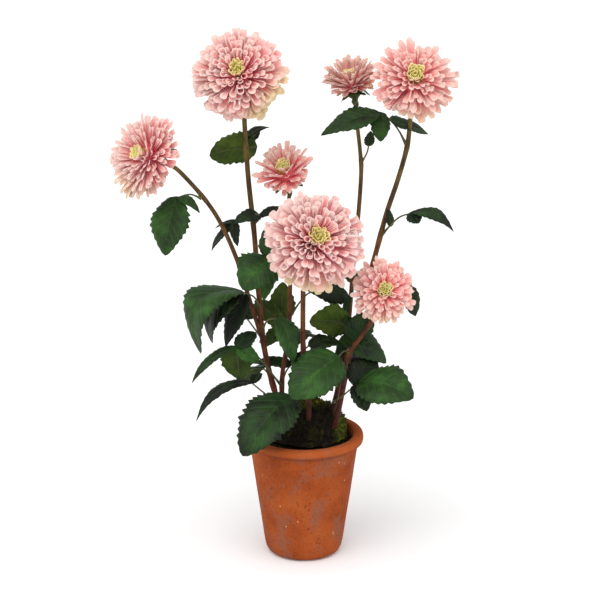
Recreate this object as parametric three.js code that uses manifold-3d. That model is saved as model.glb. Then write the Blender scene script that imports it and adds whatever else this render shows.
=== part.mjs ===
// Potted pompon dahlia: seven pink blooms on five stems in a terracotta pot.
// Millimetres, Z up, the front towards -Y, origin at the centre of the pot's underside.

import * as THREE from 'three';
import { ConvexHull } from 'three/addons/math/ConvexHull.js';
import { mergeVertices } from 'three/addons/utils/BufferGeometryUtils.js';
import Module from 'manifold-3d';

const wasm = await Module();
wasm.setup();

// Driving dimensions
const gap = 0.35;

const pot = {
  height: 144,
  rimRadius: 68,
  mouthRadius: 56,
  lipHeight: 10,
  neckRadius: 62,
  footRadius: 45,
  baseRadius: 38,
  floorThickness: 12,
  floorRadius: 35,
  facets: 32,
};

const soil = {
  top: 135,
  wallClearance: 1.2,
  relief: 0.7,
  facets: 22,
};

const moss = {
  centre: [3, 8],
  radius: 46,
  crown: [6, 17],
  crownReach: [45, 37],
  crownHeight: 37,
  edgeThickness: 3,
  relief: 1.4,
  facets: 20,
};

const stemSides = 6;
const stemStep = 27;
const stemFoot = 104;

const petiole = { sides: 5, radius: 1.4, step: 18 };
const blade = { thickness: 0.9, fold: 0.28, sink: 2, tooth: 17, mostTeeth: 4, fewestTeeth: 2 };
const smoothing = 0.05;

// Shares of a bloom's radius: its core, half the height of its heart, and how far its calyx
// reaches behind the centre
const core = 0.4;
const heartHalf = 0.17;
const calyxDepth = 0.66;

const heartFlorets = 18;
const sepal = { count: 5, thickness: 1.2, stand: 2.5 };
const neckLength = 6;

const colours = {
  terracotta: 0xc4602f,
  soil: 0x2a1d14,
  moss: 0x5f7326,
  stem: 0x6b4526,
  leaf: 0x2c4f27,
  petal: 0xf0a3a3,
  heart: 0xd8d36a,
  sepal: 0x3c5a2a,
};

// Each bloom: centre, direction that its heart faces, radius, depth along that direction
// as a share of its width, cells all round the ball, the angle from the heart to which its
// petals go, how far the last ones reach, and the heart's share of the radius
const blooms = {
  top_left: {
    centre: [-70, 15, 551], faces: [-0.11, -0.81, 0.575], radius: 51,
    depth: 0.95, cells: 78, spread: 146, lastReach: 0.6, heart: 0.19,
  },
  left: {
    centre: [-174, -13, 469], faces: [-0.67, -0.6, 0.43], radius: 45,
    depth: 0.75, cells: 64, spread: 130, lastReach: 0.85, heart: 0.25,
  },
  small_left: {
    centre: [-22, 45, 433], faces: [-0.2, -0.35, 0.915], radius: 36,
    depth: 0.9, cells: 52, spread: 112, lastReach: 0.8, heart: 0.3,
  },
  centre: {
    centre: [10, -50, 380], faces: [0.22, -0.81, 0.545], radius: 55,
    depth: 0.95, cells: 82, spread: 146, lastReach: 0.6, heart: 0.21,
  },
  low_right: {
    centre: [86, -45, 323], faces: [0.14, -0.875, 0.46], radius: 36,
    depth: 0.8, cells: 60, spread: 130, lastReach: 0.85, heart: 0.32,
  },
  top_right: {
    centre: [119, 5, 547], faces: [0.03, -0.8, 0.6], radius: 47,
    depth: 0.85, cells: 64, spread: 134, lastReach: 0.8, heart: 0.25,
  },
  small_right: {
    centre: [52.5, 45, 541], faces: [-0.08, -0.08, 0.99], radius: 32,
    depth: 1, cells: 50, spread: 112, lastReach: 0.9, heart: 0.3,
  },
};

// Each stem node: its shoots, the first one rooted in the soil, the others branching off it.
// A shoot ends in the calyx of its bloom. Points run down from the bloom.
const stems = {
  left: [
    {
      bloom: 'top_left', top: 2.5, foot: 3.5,
      points: [
        [-66, 49, 514], [-66, 44, 490], [-62, 34, 430], [-56, 24, 374], [-51, 16, 307],
        [-47, 10, 256], [-41, 6, 221], [-33, 3, 190], [-22, 0, 151], [-16, -4, stemFoot],
      ],
    },
    {
      bloom: 'left', top: 2.3, foot: 2.6,
      points: [
        [-148, 4, 454], [-136, 6, 445], [-109, 8, 413], [-91, 10, 383], [-74, 11, 341],
        [-61, 11, 296], [-47, 9, 252],
      ],
    },
  ],
  small_left: [
    {
      bloom: 'small_left', top: 2.1, foot: 3,
      points: [
        [-16, 52, 390], [-16, 45, 370], [-16, 38, 345], [-16, 28, 291], [-18, 22, 246],
        [-24, 16, 212], [-25, 12, 182], [-21, 8, 148], [-20, 10, stemFoot],
      ],
    },
  ],
  centre: [
    {
      bloom: 'centre', top: 2.7, foot: 3.2,
      points: [
        [0, -12, 341], [-1, -11, 316], [-1, -10, 249], [2, -9, 209], [5, -9, 185],
        [6, -8, 146], [7, -9, stemFoot],
      ],
    },
  ],
  right: [
    {
      bloom: 'top_right', top: 2.4, foot: 3.4,
      points: [
        [118, 35, 512], [117, 34, 495], [114, 30, 468], [104, 26, 431], [92, 21, 395],
        [79, 14, 346], [64, 7, 292], [54, 2, 246], [46, -2, 206], [38, -5, 165],
        [31, -6, 139], [27, -9, stemFoot],
      ],
    },
    {
      bloom: 'low_right', top: 2.3, foot: 2.6,
      points: [
        [80, -19, 296], [75, -20, 281], [63, -18, 262], [52, -14, 244], [46, -8, 222],
        [44, -3, 198],
      ],
    },
  ],
  small_right: [
    {
      bloom: 'small_right', top: 2, foot: 3,
      points: [
        [57, 47, 503], [60, 48, 482], [63, 47, 456], [64, 45, 435], [61, 38, 388],
        [56, 32, 337], [52, 26, 280], [47, 20, 234], [38, 12, 189], [30, 5, 155],
        [22, 1, 133], [18, 4, stemFoot],
      ],
    },
  ],
};

// Each leaf: the stem that carries it, the points of its stalk from the stem outwards, and
// its leaflets as base, tip, width, the way its upper face looks, and the height of its arch
const leaves = {
  left_shoulder: {
    stem: 'left', stalk: [[-113, 6, 415], [-126, 6, 420], [-140, 2, 417]],
    leaflets: [
      [[-140, 2, 417], [-154, -16, 356], 43, [-0.35, -0.85, 0.35], 5],
      [[-138, 2, 417], [-114, -12, 404], 14, [0.2, -0.5, 0.85], 5],
    ],
  },
  left_top: {
    stem: 'left', stalk: [[-64, 39, 459], [-65, 50, 470]],
    leaflets: [
      [[-65, 50, 470], [-106, 40, 456], 38, [-0.1, 0.9, 0.4], 4],
      [[-64, 50, 469], [-50, 64, 478], 18, [0.2, 0.85, 0.3], 2],
      [[-65, 50, 470], [-39, 58, 485], 16, [-0.2, -0.3, 0.9], 6],
    ],
  },
  left_mid: {
    stem: 'left', stalk: [[-57, 25, 381], [-49, 19, 391], [-62, 11, 397], [-77, 10, 388]],
    leaflets: [
      [[-49, 19, 391], [-20, 32, 399], 12, [0, -0.5, 0.85], 4],
      [[-50, 18, 392], [-78, 2, 389], 19, [0.1, -0.6, 0.8], 6],
      [[-77, 9, 388], [-74, 0, 362], 13, [-0.3, -0.9, 0.2], 2],
      [[-76, 11, 388], [-100, 26, 376], 9, [0, -0.4, 0.9], 3],
      [[-76, 11, 387], [-106, 32, 348], 14, [-0.3, -0.6, 0.7], 4],
    ],
  },
  left_front: {
    stem: 'left', stalk: [[-53, 19, 338], [-47, 6, 344], [-38, -6, 340]],
    leaflets: [
      [[-38, -6, 340], [-72, -30, 322], 50, [-0.25, -0.8, 0.5], 6],
      [[-38, -6, 340], [-42, -4, 384], 17, [-0.5, -0.8, 0.2], 3],
      [[-38, -6, 340], [-45, -22, 305], 20, [0.2, -0.9, 0.35], 3],
    ],
  },
  left_wing: {
    stem: 'left', stalk: [[-49, 13, 286], [-56, 2, 303], [-70, -5, 311]],
    leaflets: [
      [[-70, -5, 311], [-117, -38, 250], 50, [-0.6, -0.55, 0.58], 20],
      [[-68, -4, 309], [-101, 16, 254], 30, [-0.5, -0.3, 0.8], 9],
      [[-64, -2, 306], [-88, -2, 245], 18, [-0.4, -0.8, 0.4], 5],
    ],
  },
  left_under: {
    stem: 'left', stalk: [[-46, 9, 249], [-56, 14, 262], [-66, 20, 274]],
    leaflets: [
      [[-66, 20, 274], [-88, 46, 262], 28, [-0.2, -0.2, 0.95], 5],
      [[-64, 19, 272], [-54, 46, 282], 22, [0.1, -0.3, 0.95], 4],
    ],
  },
  middle_back: {
    stem: 'small_left', stalk: [[-17, 23, 252], [-22, 34, 256], [-27, 39, 262]],
    leaflets: [
      [[-27, 39, 262], [-24, 52, 306], 30, [0.1, 0.95, -0.1], 3],
      [[-25, 37, 259], [-56, 52, 284], 28, [-0.2, 0.85, 0.4], 4],
      [[-21, 33, 255], [-46, 38, 232], 24, [-0.2, 0.8, 0.5], 4],
    ],
  },
  middle_left: {
    stem: 'small_left',
    stalk: [[-25, 13, 193], [-33, 1, 208], [-43, -4, 224], [-58, -9, 242], [-76, -14, 249]],
    leaflets: [
      [[-74, -14, 249], [-54, 2, 262], 22, [-0.1, -0.5, 0.85], 3],
      [[-74, -14, 248], [-50, -20, 234], 20, [0.2, -0.8, 0.55], 4],
      [[-76, -13, 249], [-74, -10, 211], 33, [0.05, 0.8, 0.4], 4],
      [[-76, -14, 249], [-124, -36, 213], 13, [-0.3, -0.2, 0.9], 14],
    ],
  },
  low_left: {
    stem: 'left', stalk: [[-30, 2, 179], [-44, -3, 190], [-59, -6, 204]],
    leaflets: [
      [[-59, -6, 204], [-125, -31, 165], 22, [-0.2, -0.45, 0.85], 13],
      [[-58, -6, 204], [-48, 18, 208], 13, [0, -0.4, 0.9], 3],
    ],
  },
  low_back: {
    stem: 'small_left', stalk: [[-25, 14, 196], [-20, 24, 208], [-14, 28, 214]],
    leaflets: [
      [[-16, 28, 214], [-58, 36, 214], 22, [0, -0.3, 0.95], 4],
      [[-14, 28, 214], [14, 40, 222], 22, [0, -0.3, 0.95], 4],
    ],
  },
  front: {
    stem: 'centre', stalk: [[5, -9, 186], [-4, -18, 196], [-15, -28, 196]],
    leaflets: [
      [[-15, -28, 196], [-64, -84, 151], 60, [-0.15, -0.55, 0.82], 12],
    ],
  },
  arch: {
    stem: 'left', stalk: [[-47, 10, 262], [-40, -4, 278], [-28, -13, 282]],
    leaflets: [
      [[-28, -13, 282], [-12, -32, 236], 27, [0.3, -0.8, 0.5], 8],
    ],
  },
  hub: {
    stem: 'right', stalk: [[54, 2, 248], [51, 9, 258], [44, 11, 269]],
    leaflets: [
      [[43, 11, 268], [8, 14, 290], 44, [0, 0.8, 0.6], 4],
      [[45, 11, 268], [55, 15, 308], 16, [-0.8, -0.5, 0.3], 3],
      [[50, 11, 261], [80, 33, 268], 34, [0.2, -0.6, 0.75], 5],
      [[53, 8, 254], [94, 2, 228], 30, [0.35, -0.5, 0.78], 6],
      [[48, 8, 257], [34, 4, 212], 13, [-0.5, -0.8, 0.2], 3],
    ],
  },
  fore: {
    stem: 'right', stalk: [[51, -13, 241], [45, -21, 247], [38, -28, 242]],
    leaflets: [
      [[38, -28, 242], [-14, -64, 205], 58, [-0.1, -0.75, 0.65], 8],
    ],
  },
  level: {
    stem: 'centre', stalk: [[-1, -10, 244], [7, -8, 250]],
    leaflets: [
      [[6, -8, 249], [33, 0, 250], 20, [0, 0.15, 0.98], 3],
    ],
  },
  middle_right: {
    stem: 'small_left', stalk: [[-16, 26, 272], [-6, 31, 286], [4, 30, 298], [13, 30, 301]],
    leaflets: [
      [[13, 30, 301], [55, 48, 284], 34, [0.1, -0.6, 0.78], 8],
      [[12, 30, 301], [20, 68, 282], 28, [0, 0.2, 0.95], 5],
    ],
  },
  low_right: {
    stem: 'small_right',
    stalk: [[35, 9, 176], [33, -5, 181], [41, -14, 189], [50, -19, 199], [59, -25, 209]],
    leaflets: [
      [[59, -25, 209], [121, -54, 202], 50, [0.25, -0.55, 0.8], 8],
      [[58, -25, 208], [76, -52, 182], 30, [0.1, -0.85, 0.5], 4],
      [[57, -23, 207], [84, 4, 224], 34, [0.2, -0.6, 0.77], 5],
    ],
  },
  shade_right: {
    stem: 'right', stalk: [[75, -20, 282], [84, -6, 293], [101, 4, 306]],
    leaflets: [
      [[101, 4, 306], [131, 8, 283], 34, [0.5, -0.75, 0.4], 4],
      [[97, 2, 303], [90, 38, 300], 26, [0, 0.1, 0.98], 5],
    ],
  },
  inner_right: {
    stem: 'small_right', stalk: [[43, 17, 214], [50, 24, 226]],
    leaflets: [
      [[50, 24, 226], [80, 40, 208], 30, [0.2, -0.3, 0.93], 5],
    ],
  },
  right_mid: {
    stem: 'right',
    stalk: [[85, 17, 368], [96, 13, 383], [107, 9, 394], [121, 5, 399]],
    leaflets: [
      [[96, 13, 383], [93, 20, 402], 11, [0.5, -0.8, 0.3], 1],
      [[118, 6, 398], [128, -3, 382], 20, [0.1, -0.8, 0.6], 3],
      [[121, 5, 399], [168, -9, 376], 25, [0.1, -0.45, 0.9], 11],
    ],
  },
  right_top: {
    stem: 'right', stalk: [[114, 30, 468], [105, 29, 486], [94, 27, 500], [82, 25, 507]],
    leaflets: [
      [[82, 25, 507], [18, 6, 487], 34, [-0.1, -0.5, 0.85], 6],
      [[83, 25, 507], [84, 11, 478], 22, [0, -0.95, 0.3], 3],
      [[95, 27, 499], [143, 58, 472], 22, [0, -0.6, 0.8], 5],
    ],
  },
  slim_right: {
    stem: 'small_right', stalk: [[64, 47, 446], [70, 43, 458], [72, 41, 468]],
    leaflets: [
      [[72, 41, 468], [74, 36, 485], 12, [0.1, -0.8, 0.6], 2],
    ],
  },
  back_middle: {
    stem: 'small_left', stalk: [[-21, 19, 228], [-19, 38, 240], [-16, 52, 244]],
    leaflets: [
      [[-16, 52, 244], [-12, 100, 214], 42, [0, 0.35, 0.93], 7],
      [[-17, 50, 243], [-52, 80, 224], 30, [-0.3, 0.2, 0.93], 5],
      [[-15, 50, 243], [22, 82, 226], 30, [0.3, 0.2, 0.93], 5],
    ],
  },
  back_left: {
    stem: 'left', stalk: [[-51, 16, 310], [-47, 36, 322], [-46, 48, 324]],
    leaflets: [
      [[-46, 48, 324], [-38, 92, 298], 40, [0, 0.35, 0.93], 6],
      [[-46, 46, 324], [-74, 76, 308], 28, [-0.3, 0.2, 0.93], 4],
    ],
  },
  back_right: {
    stem: 'right', stalk: [[66, 8, 302], [66, 34, 314], [66, 48, 316]],
    leaflets: [
      [[66, 48, 316], [62, 94, 290], 40, [0, 0.35, 0.93], 6],
      [[66, 46, 316], [96, 74, 298], 28, [0.3, 0.2, 0.93], 4],
    ],
  },
  back_low: {
    stem: 'small_right', stalk: [[39, 14, 196], [46, 34, 206], [50, 46, 208]],
    leaflets: [
      [[50, 46, 208], [72, 90, 178], 42, [0.2, 0.3, 0.93], 7],
      [[49, 44, 208], [20, 74, 196], 26, [-0.2, 0.3, 0.93], 4],
    ],
  },
  back_low_left: {
    stem: 'left', stalk: [[-35, 3, 198], [-42, 24, 206], [-48, 36, 207]],
    leaflets: [
      [[-48, 36, 207], [-72, 78, 176], 42, [-0.2, 0.3, 0.93], 7],
    ],
  },
};

// Helpers
function vector(xyz) {
  return new THREE.Vector3(...xyz);
}

function seededRandom(seed) {
  let state = seed;
  return () => {
    state = (state * 1664525 + 1013904223) % 4294967296;
    return state / 4294967296;
  };
}

function smoothStep(value, from, to) {
  return THREE.MathUtils.smoothstep(value, from, to);
}

// A closed body from points and triangles, turned so that its faces look outwards
function closedGeometry(points, triangles) {
  let volume = 0;
  for (const [a, b, c] of triangles) {
    volume += points[a].dot(new THREE.Vector3().crossVectors(points[b], points[c]));
  }
  const faces = volume < 0 ? triangles.map(([a, b, c]) => [a, c, b]) : triangles;
  const geometry = new THREE.BufferGeometry();
  geometry.setAttribute('position', new THREE.Float32BufferAttribute(
    points.flatMap((point) => point.toArray()), 3));
  geometry.setIndex(faces.flat());
  return geometry;
}

// A closed body through a stack of rings of equal length, closed by a point at each end
function ringedGeometry(firstPole, rings, lastPole) {
  const sides = rings[0].length;
  const points = [firstPole, ...rings.flat(), lastPole];
  const last = points.length - 1;
  const triangles = [];
  for (let side = 0; side < sides; side += 1) {
    const next = (side + 1) % sides;
    triangles.push([0, 1 + next, 1 + side]);
    for (let ring = 0; ring + 1 < rings.length; ring += 1) {
      const low = 1 + ring * sides;
      const high = low + sides;
      triangles.push([low + side, low + next, high + next]);
      triangles.push([low + side, high + next, high + side]);
    }
    const top = 1 + (rings.length - 1) * sides;
    triangles.push([top + side, top + next, last]);
  }
  return closedGeometry(points, triangles);
}

function toSolid(geometry) {
  const merged = mergeVertices(geometry, 1e-4);
  return new wasm.Manifold(new wasm.Mesh({
    numProp: 3,
    vertProperties: new Float32Array(merged.getAttribute('position').array),
    triVerts: new Uint32Array(merged.getIndex().array),
  }));
}

function toGeometry(solid) {
  const mesh = solid.getMesh();
  const geometry = new THREE.BufferGeometry();
  geometry.setAttribute('position', new THREE.Float32BufferAttribute(mesh.vertProperties, 3));
  geometry.setIndex(Array.from(mesh.triVerts));
  return geometry;
}

function joined(solids) {
  return solids.reduce((whole, piece) => whole.add(piece));
}

// The largest body left after a cut, without slivers or crumbs
function mainBody(solid) {
  const bodies = solid.decompose();
  bodies.sort((a, b) => b.volume() - a.volume());
  return bodies[0].simplify(smoothing);
}

// A round bar along a smooth curve, thinner or thicker along its way
function barAlong(points, sides, step, radiusAt) {
  const curve = new THREE.CatmullRomCurve3(points, false, 'centripetal');
  const steps = Math.max(2, Math.round(curve.getLength() / step));
  const frames = curve.computeFrenetFrames(steps, false);
  const rings = [];
  for (let i = 0; i <= steps; i += 1) {
    const centre = curve.getPointAt(i / steps);
    const radius = radiusAt(i / steps);
    rings.push(Array.from({ length: sides }, (_, side) => {
      const angle = (side / sides) * 2 * Math.PI;
      return centre.clone()
        .addScaledVector(frames.normals[i], radius * Math.cos(angle))
        .addScaledVector(frames.binormals[i], radius * Math.sin(angle));
    }));
  }
  return ringedGeometry(curve.getPointAt(0), rings, curve.getPointAt(1));
}

// Pot: a turned cup with a rolled lip over a shadow line
function potGeometry() {
  const lipBase = pot.height - pot.lipHeight;
  const profile = [
    [0, 0],
    [pot.baseRadius, 0],
    [pot.footRadius - 2, 2.5],
    [pot.footRadius, 9],
    [pot.neckRadius, lipBase - 1.5],
    [pot.neckRadius + 0.3, lipBase],
    [pot.rimRadius - 1.5, lipBase + 0.8],
    [pot.rimRadius, lipBase + 3],
    [pot.rimRadius - 0.3, pot.height - 2.5],
    [pot.rimRadius - 3, pot.height],
    [pot.mouthRadius + 3, pot.height],
    [pot.mouthRadius, pot.height - 3],
    [pot.floorRadius, pot.floorThickness],
    [0, pot.floorThickness],
  ];
  const bend = profile.slice(1, -1).map(([radius, height]) => ring(radius, height, pot.facets));
  return ringedGeometry(vector([0, 0, 0]), bend, vector([0, 0, pot.floorThickness]));
}

function ring(radius, height, facets, centre = [0, 0], rise = () => 0) {
  return Array.from({ length: facets }, (_, side) => {
    const angle = (side / facets) * 2 * Math.PI;
    const x = centre[0] + radius * Math.cos(angle);
    const y = centre[1] + radius * Math.sin(angle);
    return vector([x, y, height + rise(x, y)]);
  });
}

function wallRadiusAt(height) {
  const climb = (height - pot.floorThickness) / (pot.height - 3 - pot.floorThickness);
  return pot.floorRadius + (pot.mouthRadius - pot.floorRadius) * climb;
}

// Soil: fills the pot and keeps clear of its wall
function soilGeometry() {
  const bottom = pot.floorThickness + gap;
  const crumb = (x, y) => soil.relief * Math.sin(0.33 * x + 0.6) * Math.cos(0.41 * y);
  const edge = wallRadiusAt(soil.top) - soil.wallClearance;
  const rings = [
    ring(wallRadiusAt(bottom) - 2 * gap, bottom, soil.facets),
    ring(edge, soil.top - 2, soil.facets),
    ring(edge - 2, soil.top, soil.facets, [0, 0], crumb),
    ring(edge * 0.72, soil.top, soil.facets, [0, 0], crumb),
  ];
  return ringedGeometry(vector([0, 0, bottom]), rings, vector([0, 0, soil.top]));
}

// Moss: a tufted mound on the soil, highest behind the stems
function mossRise(x, y) {
  const [crownX, crownY] = moss.crown;
  const [reachX, reachY] = moss.crownReach;
  const spread = ((x - crownX) / reachX) ** 2 + ((y - crownY) / reachY) ** 2;
  const mound = moss.crownHeight * Math.max(0, 1 - spread) ** 0.6;
  const tufts = Math.sin(0.42 * x + 1.1) * Math.cos(0.37 * y) + Math.sin(0.23 * (x + y));
  return mound + moss.relief * tufts;
}

function mossGeometry() {
  const bottom = soil.top + soil.relief + gap;
  const top = bottom + moss.edgeThickness;
  const shares = [1, 0.9, 0.74, 0.56, 0.38, 0.2];
  const rings = [
    ring(moss.radius * 0.97, bottom, moss.facets, moss.centre),
    ...shares.map((share) => ring(moss.radius * share, top, moss.facets, moss.centre, mossRise)),
  ];
  const [x, y] = moss.centre;
  return ringedGeometry(vector([x, y, bottom]), rings, vector([x, y, top + mossRise(x, y)]));
}

// Cells of nearly equal size all round a ball, each with its corners in order
function ballCells(count) {
  const goldenAngle = Math.PI * (3 - Math.sqrt(5));
  const directions = Array.from({ length: count }, (_, i) => {
    const height = 1 - (2 * i + 1) / count;
    const reach = Math.sqrt(1 - height * height);
    return vector([reach * Math.cos(i * goldenAngle), reach * Math.sin(i * goldenAngle), height]);
  });
  const hull = new ConvexHull().setFromPoints(directions);
  const corners = [];
  const cells = directions.map((direction) => ({ direction, corners: [] }));
  for (const face of hull.faces) {
    const corner = { direction: face.normal.clone(), index: corners.length };
    corners.push(corner);
    let edge = face.edge;
    do {
      cells[directions.indexOf(edge.head().point)].corners.push(corner);
      edge = edge.next;
    } while (edge !== face.edge);
  }
  for (const cell of cells) {
    const across = new THREE.Vector3(cell.direction.y, -cell.direction.x, 0).normalize();
    const along = new THREE.Vector3().crossVectors(cell.direction, across);
    const angle = (corner) => Math.atan2(
      corner.direction.dot(along), corner.direction.dot(across));
    cell.corners.sort((a, b) => angle(a) - angle(b));
  }
  return { cells, corners };
}

function polarAngle(direction) {
  return THREE.MathUtils.radToDeg(Math.acos(THREE.MathUtils.clamp(direction.z, -1, 1)));
}

// How far the petals reach at an angle from the heart: less round it and at the back
function petalReach(angle, spread, lastReach) {
  const front = 0.86 + 0.14 * smoothStep(angle, 25, 62);
  const back = 1 - (1 - lastReach) * smoothStep(angle, spread - 45, spread);
  return front * back;
}

// Petals: hollow-mouthed quills all round a core, bare where the heart and the calyx sit
function petalsGeometry({ radius, depth, cells: count, spread, lastReach, heart }, random) {
  const { cells, corners } = ballCells(count);
  const coreRadius = radius * core;
  const heartAngle = THREE.MathUtils.radToDeg(Math.atan(heart / (core + heartHalf))) + 5;
  const points = corners.map(({ direction }) => direction.clone().multiplyScalar(coreRadius));
  const triangles = [];
  for (const { direction, corners: around } of cells) {
    const angles = around.map((corner) => polarAngle(corner.direction));
    const bare = Math.min(...angles) < heartAngle || Math.max(...angles) > spread;
    const middle = points.length;
    const valleys = around.map(({ index }) => index);
    if (bare) {
      points.push(direction.clone().multiplyScalar(coreRadius));
      valleys.forEach((valley, k) => {
        triangles.push([valley, valleys[(k + 1) % valleys.length], middle]);
      });
      continue;
    }
    const envelope = petalReach(polarAngle(direction), spread, lastReach);
    const reach = radius * envelope * (0.95 + 0.08 * random());
    const pull = 0.76 + 0.08 * random();
    points.push(direction.clone().multiplyScalar(coreRadius + 0.5 * (reach - coreRadius)));
    for (const corner of around) {
      const rim = direction.clone().lerp(corner.direction, pull).normalize();
      const lip = THREE.MathUtils.clamp((direction.z - rim.z) * 3, -1, 1);
      points.push(rim.multiplyScalar(reach * (1 + 0.06 * lip)));
    }
    valleys.forEach((valley, k) => {
      const next = (k + 1) % valleys.length;
      const rimHere = middle + 1 + k;
      const rimNext = middle + 1 + next;
      triangles.push([valley, valleys[next], rimNext]);
      triangles.push([valley, rimNext, rimHere]);
      triangles.push([rimHere, rimNext, middle]);
    });
  }
  points.forEach((point) => { point.z *= depth; });
  return closedGeometry(points, triangles);
}

// Heart: a low bud of small pointed florets standing on the core
function heartGeometry({ radius, depth, heart }) {
  const { cells, corners } = ballCells(heartFlorets);
  const across = radius * heart;
  const half = radius * heartHalf;
  const points = corners.map(({ direction }) => direction.clone().multiplyScalar(0.78));
  const triangles = [];
  for (const { direction, corners: around } of cells) {
    const reach = polarAngle(direction) > 125 ? 0.8 : 1;
    points.push(direction.clone().multiplyScalar(reach));
    around.forEach(({ index }, k) => {
      triangles.push([index, around[(k + 1) % around.length].index, points.length - 1]);
    });
  }
  points.forEach((point) => {
    point.set(point.x * across, point.y * across, (point.z + 1) * half * depth);
    point.z += radius * core * depth + gap;
  });
  return closedGeometry(points, triangles);
}

// Calyx: a cup on the stem's end, its pointed sepals spread over the back of the core
function calyxGeometry({ radius, depth, spread }, stemRadius) {
  const sides = sepal.count * 2;
  const coreRadius = radius * core;
  const cover = 180 - spread;
  const cup = (tip, tipOut, valley, valleyOut) => Array.from({ length: sides }, (_, side) => {
    const isTip = side % 2 === 0;
    const tilt = THREE.MathUtils.degToRad(cover * (isTip ? tip : valley));
    const reach = coreRadius * 1.06 + (isTip ? tipOut : valleyOut);
    const angle = (side / sides) * 2 * Math.PI;
    const flat = reach * Math.sin(tilt);
    const height = -reach * Math.cos(tilt) * depth;
    return vector([flat * Math.cos(angle), flat * Math.sin(angle), height]);
  });
  const { thickness, stand } = sepal;
  const rings = [
    cup(0.42, gap, 0.42, gap),
    cup(0.86, stand, 0.62, gap),
    cup(0.84, stand + thickness, 0.56, gap + 2 * thickness),
    ring(stemRadius + 1.4, -radius * depth * (calyxDepth - 0.08), sides),
    ring(stemRadius + 0.5, -radius * depth * calyxDepth, sides),
  ];
  const roof = vector([0, 0, -(coreRadius + gap) * depth - gap]);
  return ringedGeometry(roof, rings, vector([0, 0, -radius * depth * calyxDepth]));
}

// Stem: a shoot from its bloom down to the soil, with its branches fused on
function shootGeometry({ bloom, top, foot, points }, clearance) {
  const { centre, faces, radius, depth } = blooms[bloom];
  const back = vector(faces).normalize().negate();
  const end = vector(centre).addScaledVector(back, radius * depth * calyxDepth + gap);
  const neck = end.clone().addScaledVector(back, neckLength);
  const route = [end, neck, ...points.map(vector)];
  const radiusAt = (share) => THREE.MathUtils.lerp(top, foot, share) + clearance;
  return barAlong(route, stemSides, stemStep, radiusAt);
}

function stemSolid(name, clearance = 0) {
  return joined(stems[name].map((shoot) => toSolid(shootGeometry(shoot, clearance))));
}

// Leaflet: a thin ovate blade folded along its midrib, with a toothed edge
function outlineShare(along) {
  return Math.sin(Math.PI * along ** 0.7) ** 0.85;
}

function leafletGeometry([base, tip, width, faces, arch]) {
  const start = vector(base);
  const run = vector(tip).sub(start);
  const along = run.clone().normalize();
  start.addScaledVector(along, -blade.sink);
  run.addScaledVector(along, blade.sink);
  const up = vector(faces);
  up.addScaledVector(along, -up.dot(along)).normalize();
  const side = new THREE.Vector3().crossVectors(along, up);
  const teeth = THREE.MathUtils.clamp(
    Math.round(run.length() / blade.tooth), blade.fewestTeeth, blade.mostTeeth);
  const stations = teeth * 2;
  const rib = (share) => start.clone().addScaledVector(run, share)
    .addScaledVector(up, arch * 4 * share * (1 - share));
  const edge = (station, hand) => {
    const toothed = station % 2 === 0;
    const share = (station + 0.55) / (stations + 1) + (toothed ? 0.025 : -0.01);
    const reach = (width / 2) * outlineShare(share) * (toothed ? 1.07 : 0.9);
    const lift = blade.fold * reach + (toothed ? -0.5 : 0.5);
    return rib(share).addScaledVector(side, hand * reach).addScaledVector(up, lift);
  };
  const ribs = [start.clone()];
  for (let station = 1; station <= stations; station += 2) {
    ribs.push(rib((station + 0.3) / (stations + 1)));
  }
  ribs.push(start.clone().add(run));
  const lefts = Array.from({ length: stations }, (_, k) => edge(k + 1, -1));
  const rights = Array.from({ length: stations }, (_, k) => edge(k + 1, 1));
  const sheet = [...ribs, ...lefts, ...rights];
  const tipIndex = ribs.length - 1;
  const faceTriangles = [];
  for (const first of [ribs.length, ribs.length + stations]) {
    const edgeAt = (station) => first + station - 1;
    const mirrored = first !== ribs.length;
    const span = (a, b, c) => faceTriangles.push(mirrored ? [a, c, b] : [a, b, c]);
    span(0, edgeAt(1), 1);
    for (let here = 1; here < tipIndex; here += 1) {
      const station = here * 2 - 1;
      if (here > 1) {
        span(here, edgeAt(station - 1), edgeAt(station));
      }
      span(here, edgeAt(station), edgeAt(station + 1));
      span(here, edgeAt(station + 1), here + 1);
    }
  }
  const rim = [0];
  for (let k = 0; k < stations; k += 1) {
    rim.push(ribs.length + k);
  }
  rim.push(tipIndex);
  for (let k = stations - 1; k >= 0; k -= 1) {
    rim.push(ribs.length + stations + k);
  }
  const count = sheet.length;
  const half = blade.thickness / 2;
  const points = [
    ...sheet.map((point) => point.clone().addScaledVector(up, half)),
    ...sheet.map((point) => point.clone().addScaledVector(up, -half)),
  ];
  const triangles = [...faceTriangles];
  faceTriangles.forEach(([a, b, c]) => triangles.push([a + count, c + count, b + count]));
  rim.forEach((here, k) => {
    const next = rim[(k + 1) % rim.length];
    triangles.push([next, here, here + count]);
    triangles.push([next, here + count, next + count]);
  });
  return closedGeometry(points, triangles);
}

function leafGeometry({ stem, stalk, leaflets }) {
  const stalkBar = barAlong(stalk.map(vector), petiole.sides, petiole.step,
    (share) => petiole.radius * (1.15 - 0.25 * share));
  const pieces = [toSolid(stalkBar)];
  leaflets.forEach((leaflet) => pieces.push(toSolid(leafletGeometry(leaflet))));
  return toGeometry(mainBody(joined(pieces).subtract(stemSolid(stem, gap))));
}

// Assembly
const plant = new THREE.Group();

function add(parent, name, geometry, colour, roughness) {
  const material = new THREE.MeshStandardMaterial({ color: colour, roughness, metalness: 0 });
  const mesh = new THREE.Mesh(geometry, material);
  mesh.name = name;
  parent.add(mesh);
}

add(plant, 'pot', potGeometry(), colours.terracotta, 0.85);

const stemRooms = joined(Object.keys(stems).map((name) => stemSolid(name, gap)));
const pierced = (geometry) => toGeometry(mainBody(toSolid(geometry).subtract(stemRooms)));
add(plant, 'soil', pierced(soilGeometry()), colours.soil, 1);
add(plant, 'moss', pierced(mossGeometry()), colours.moss, 1);

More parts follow.
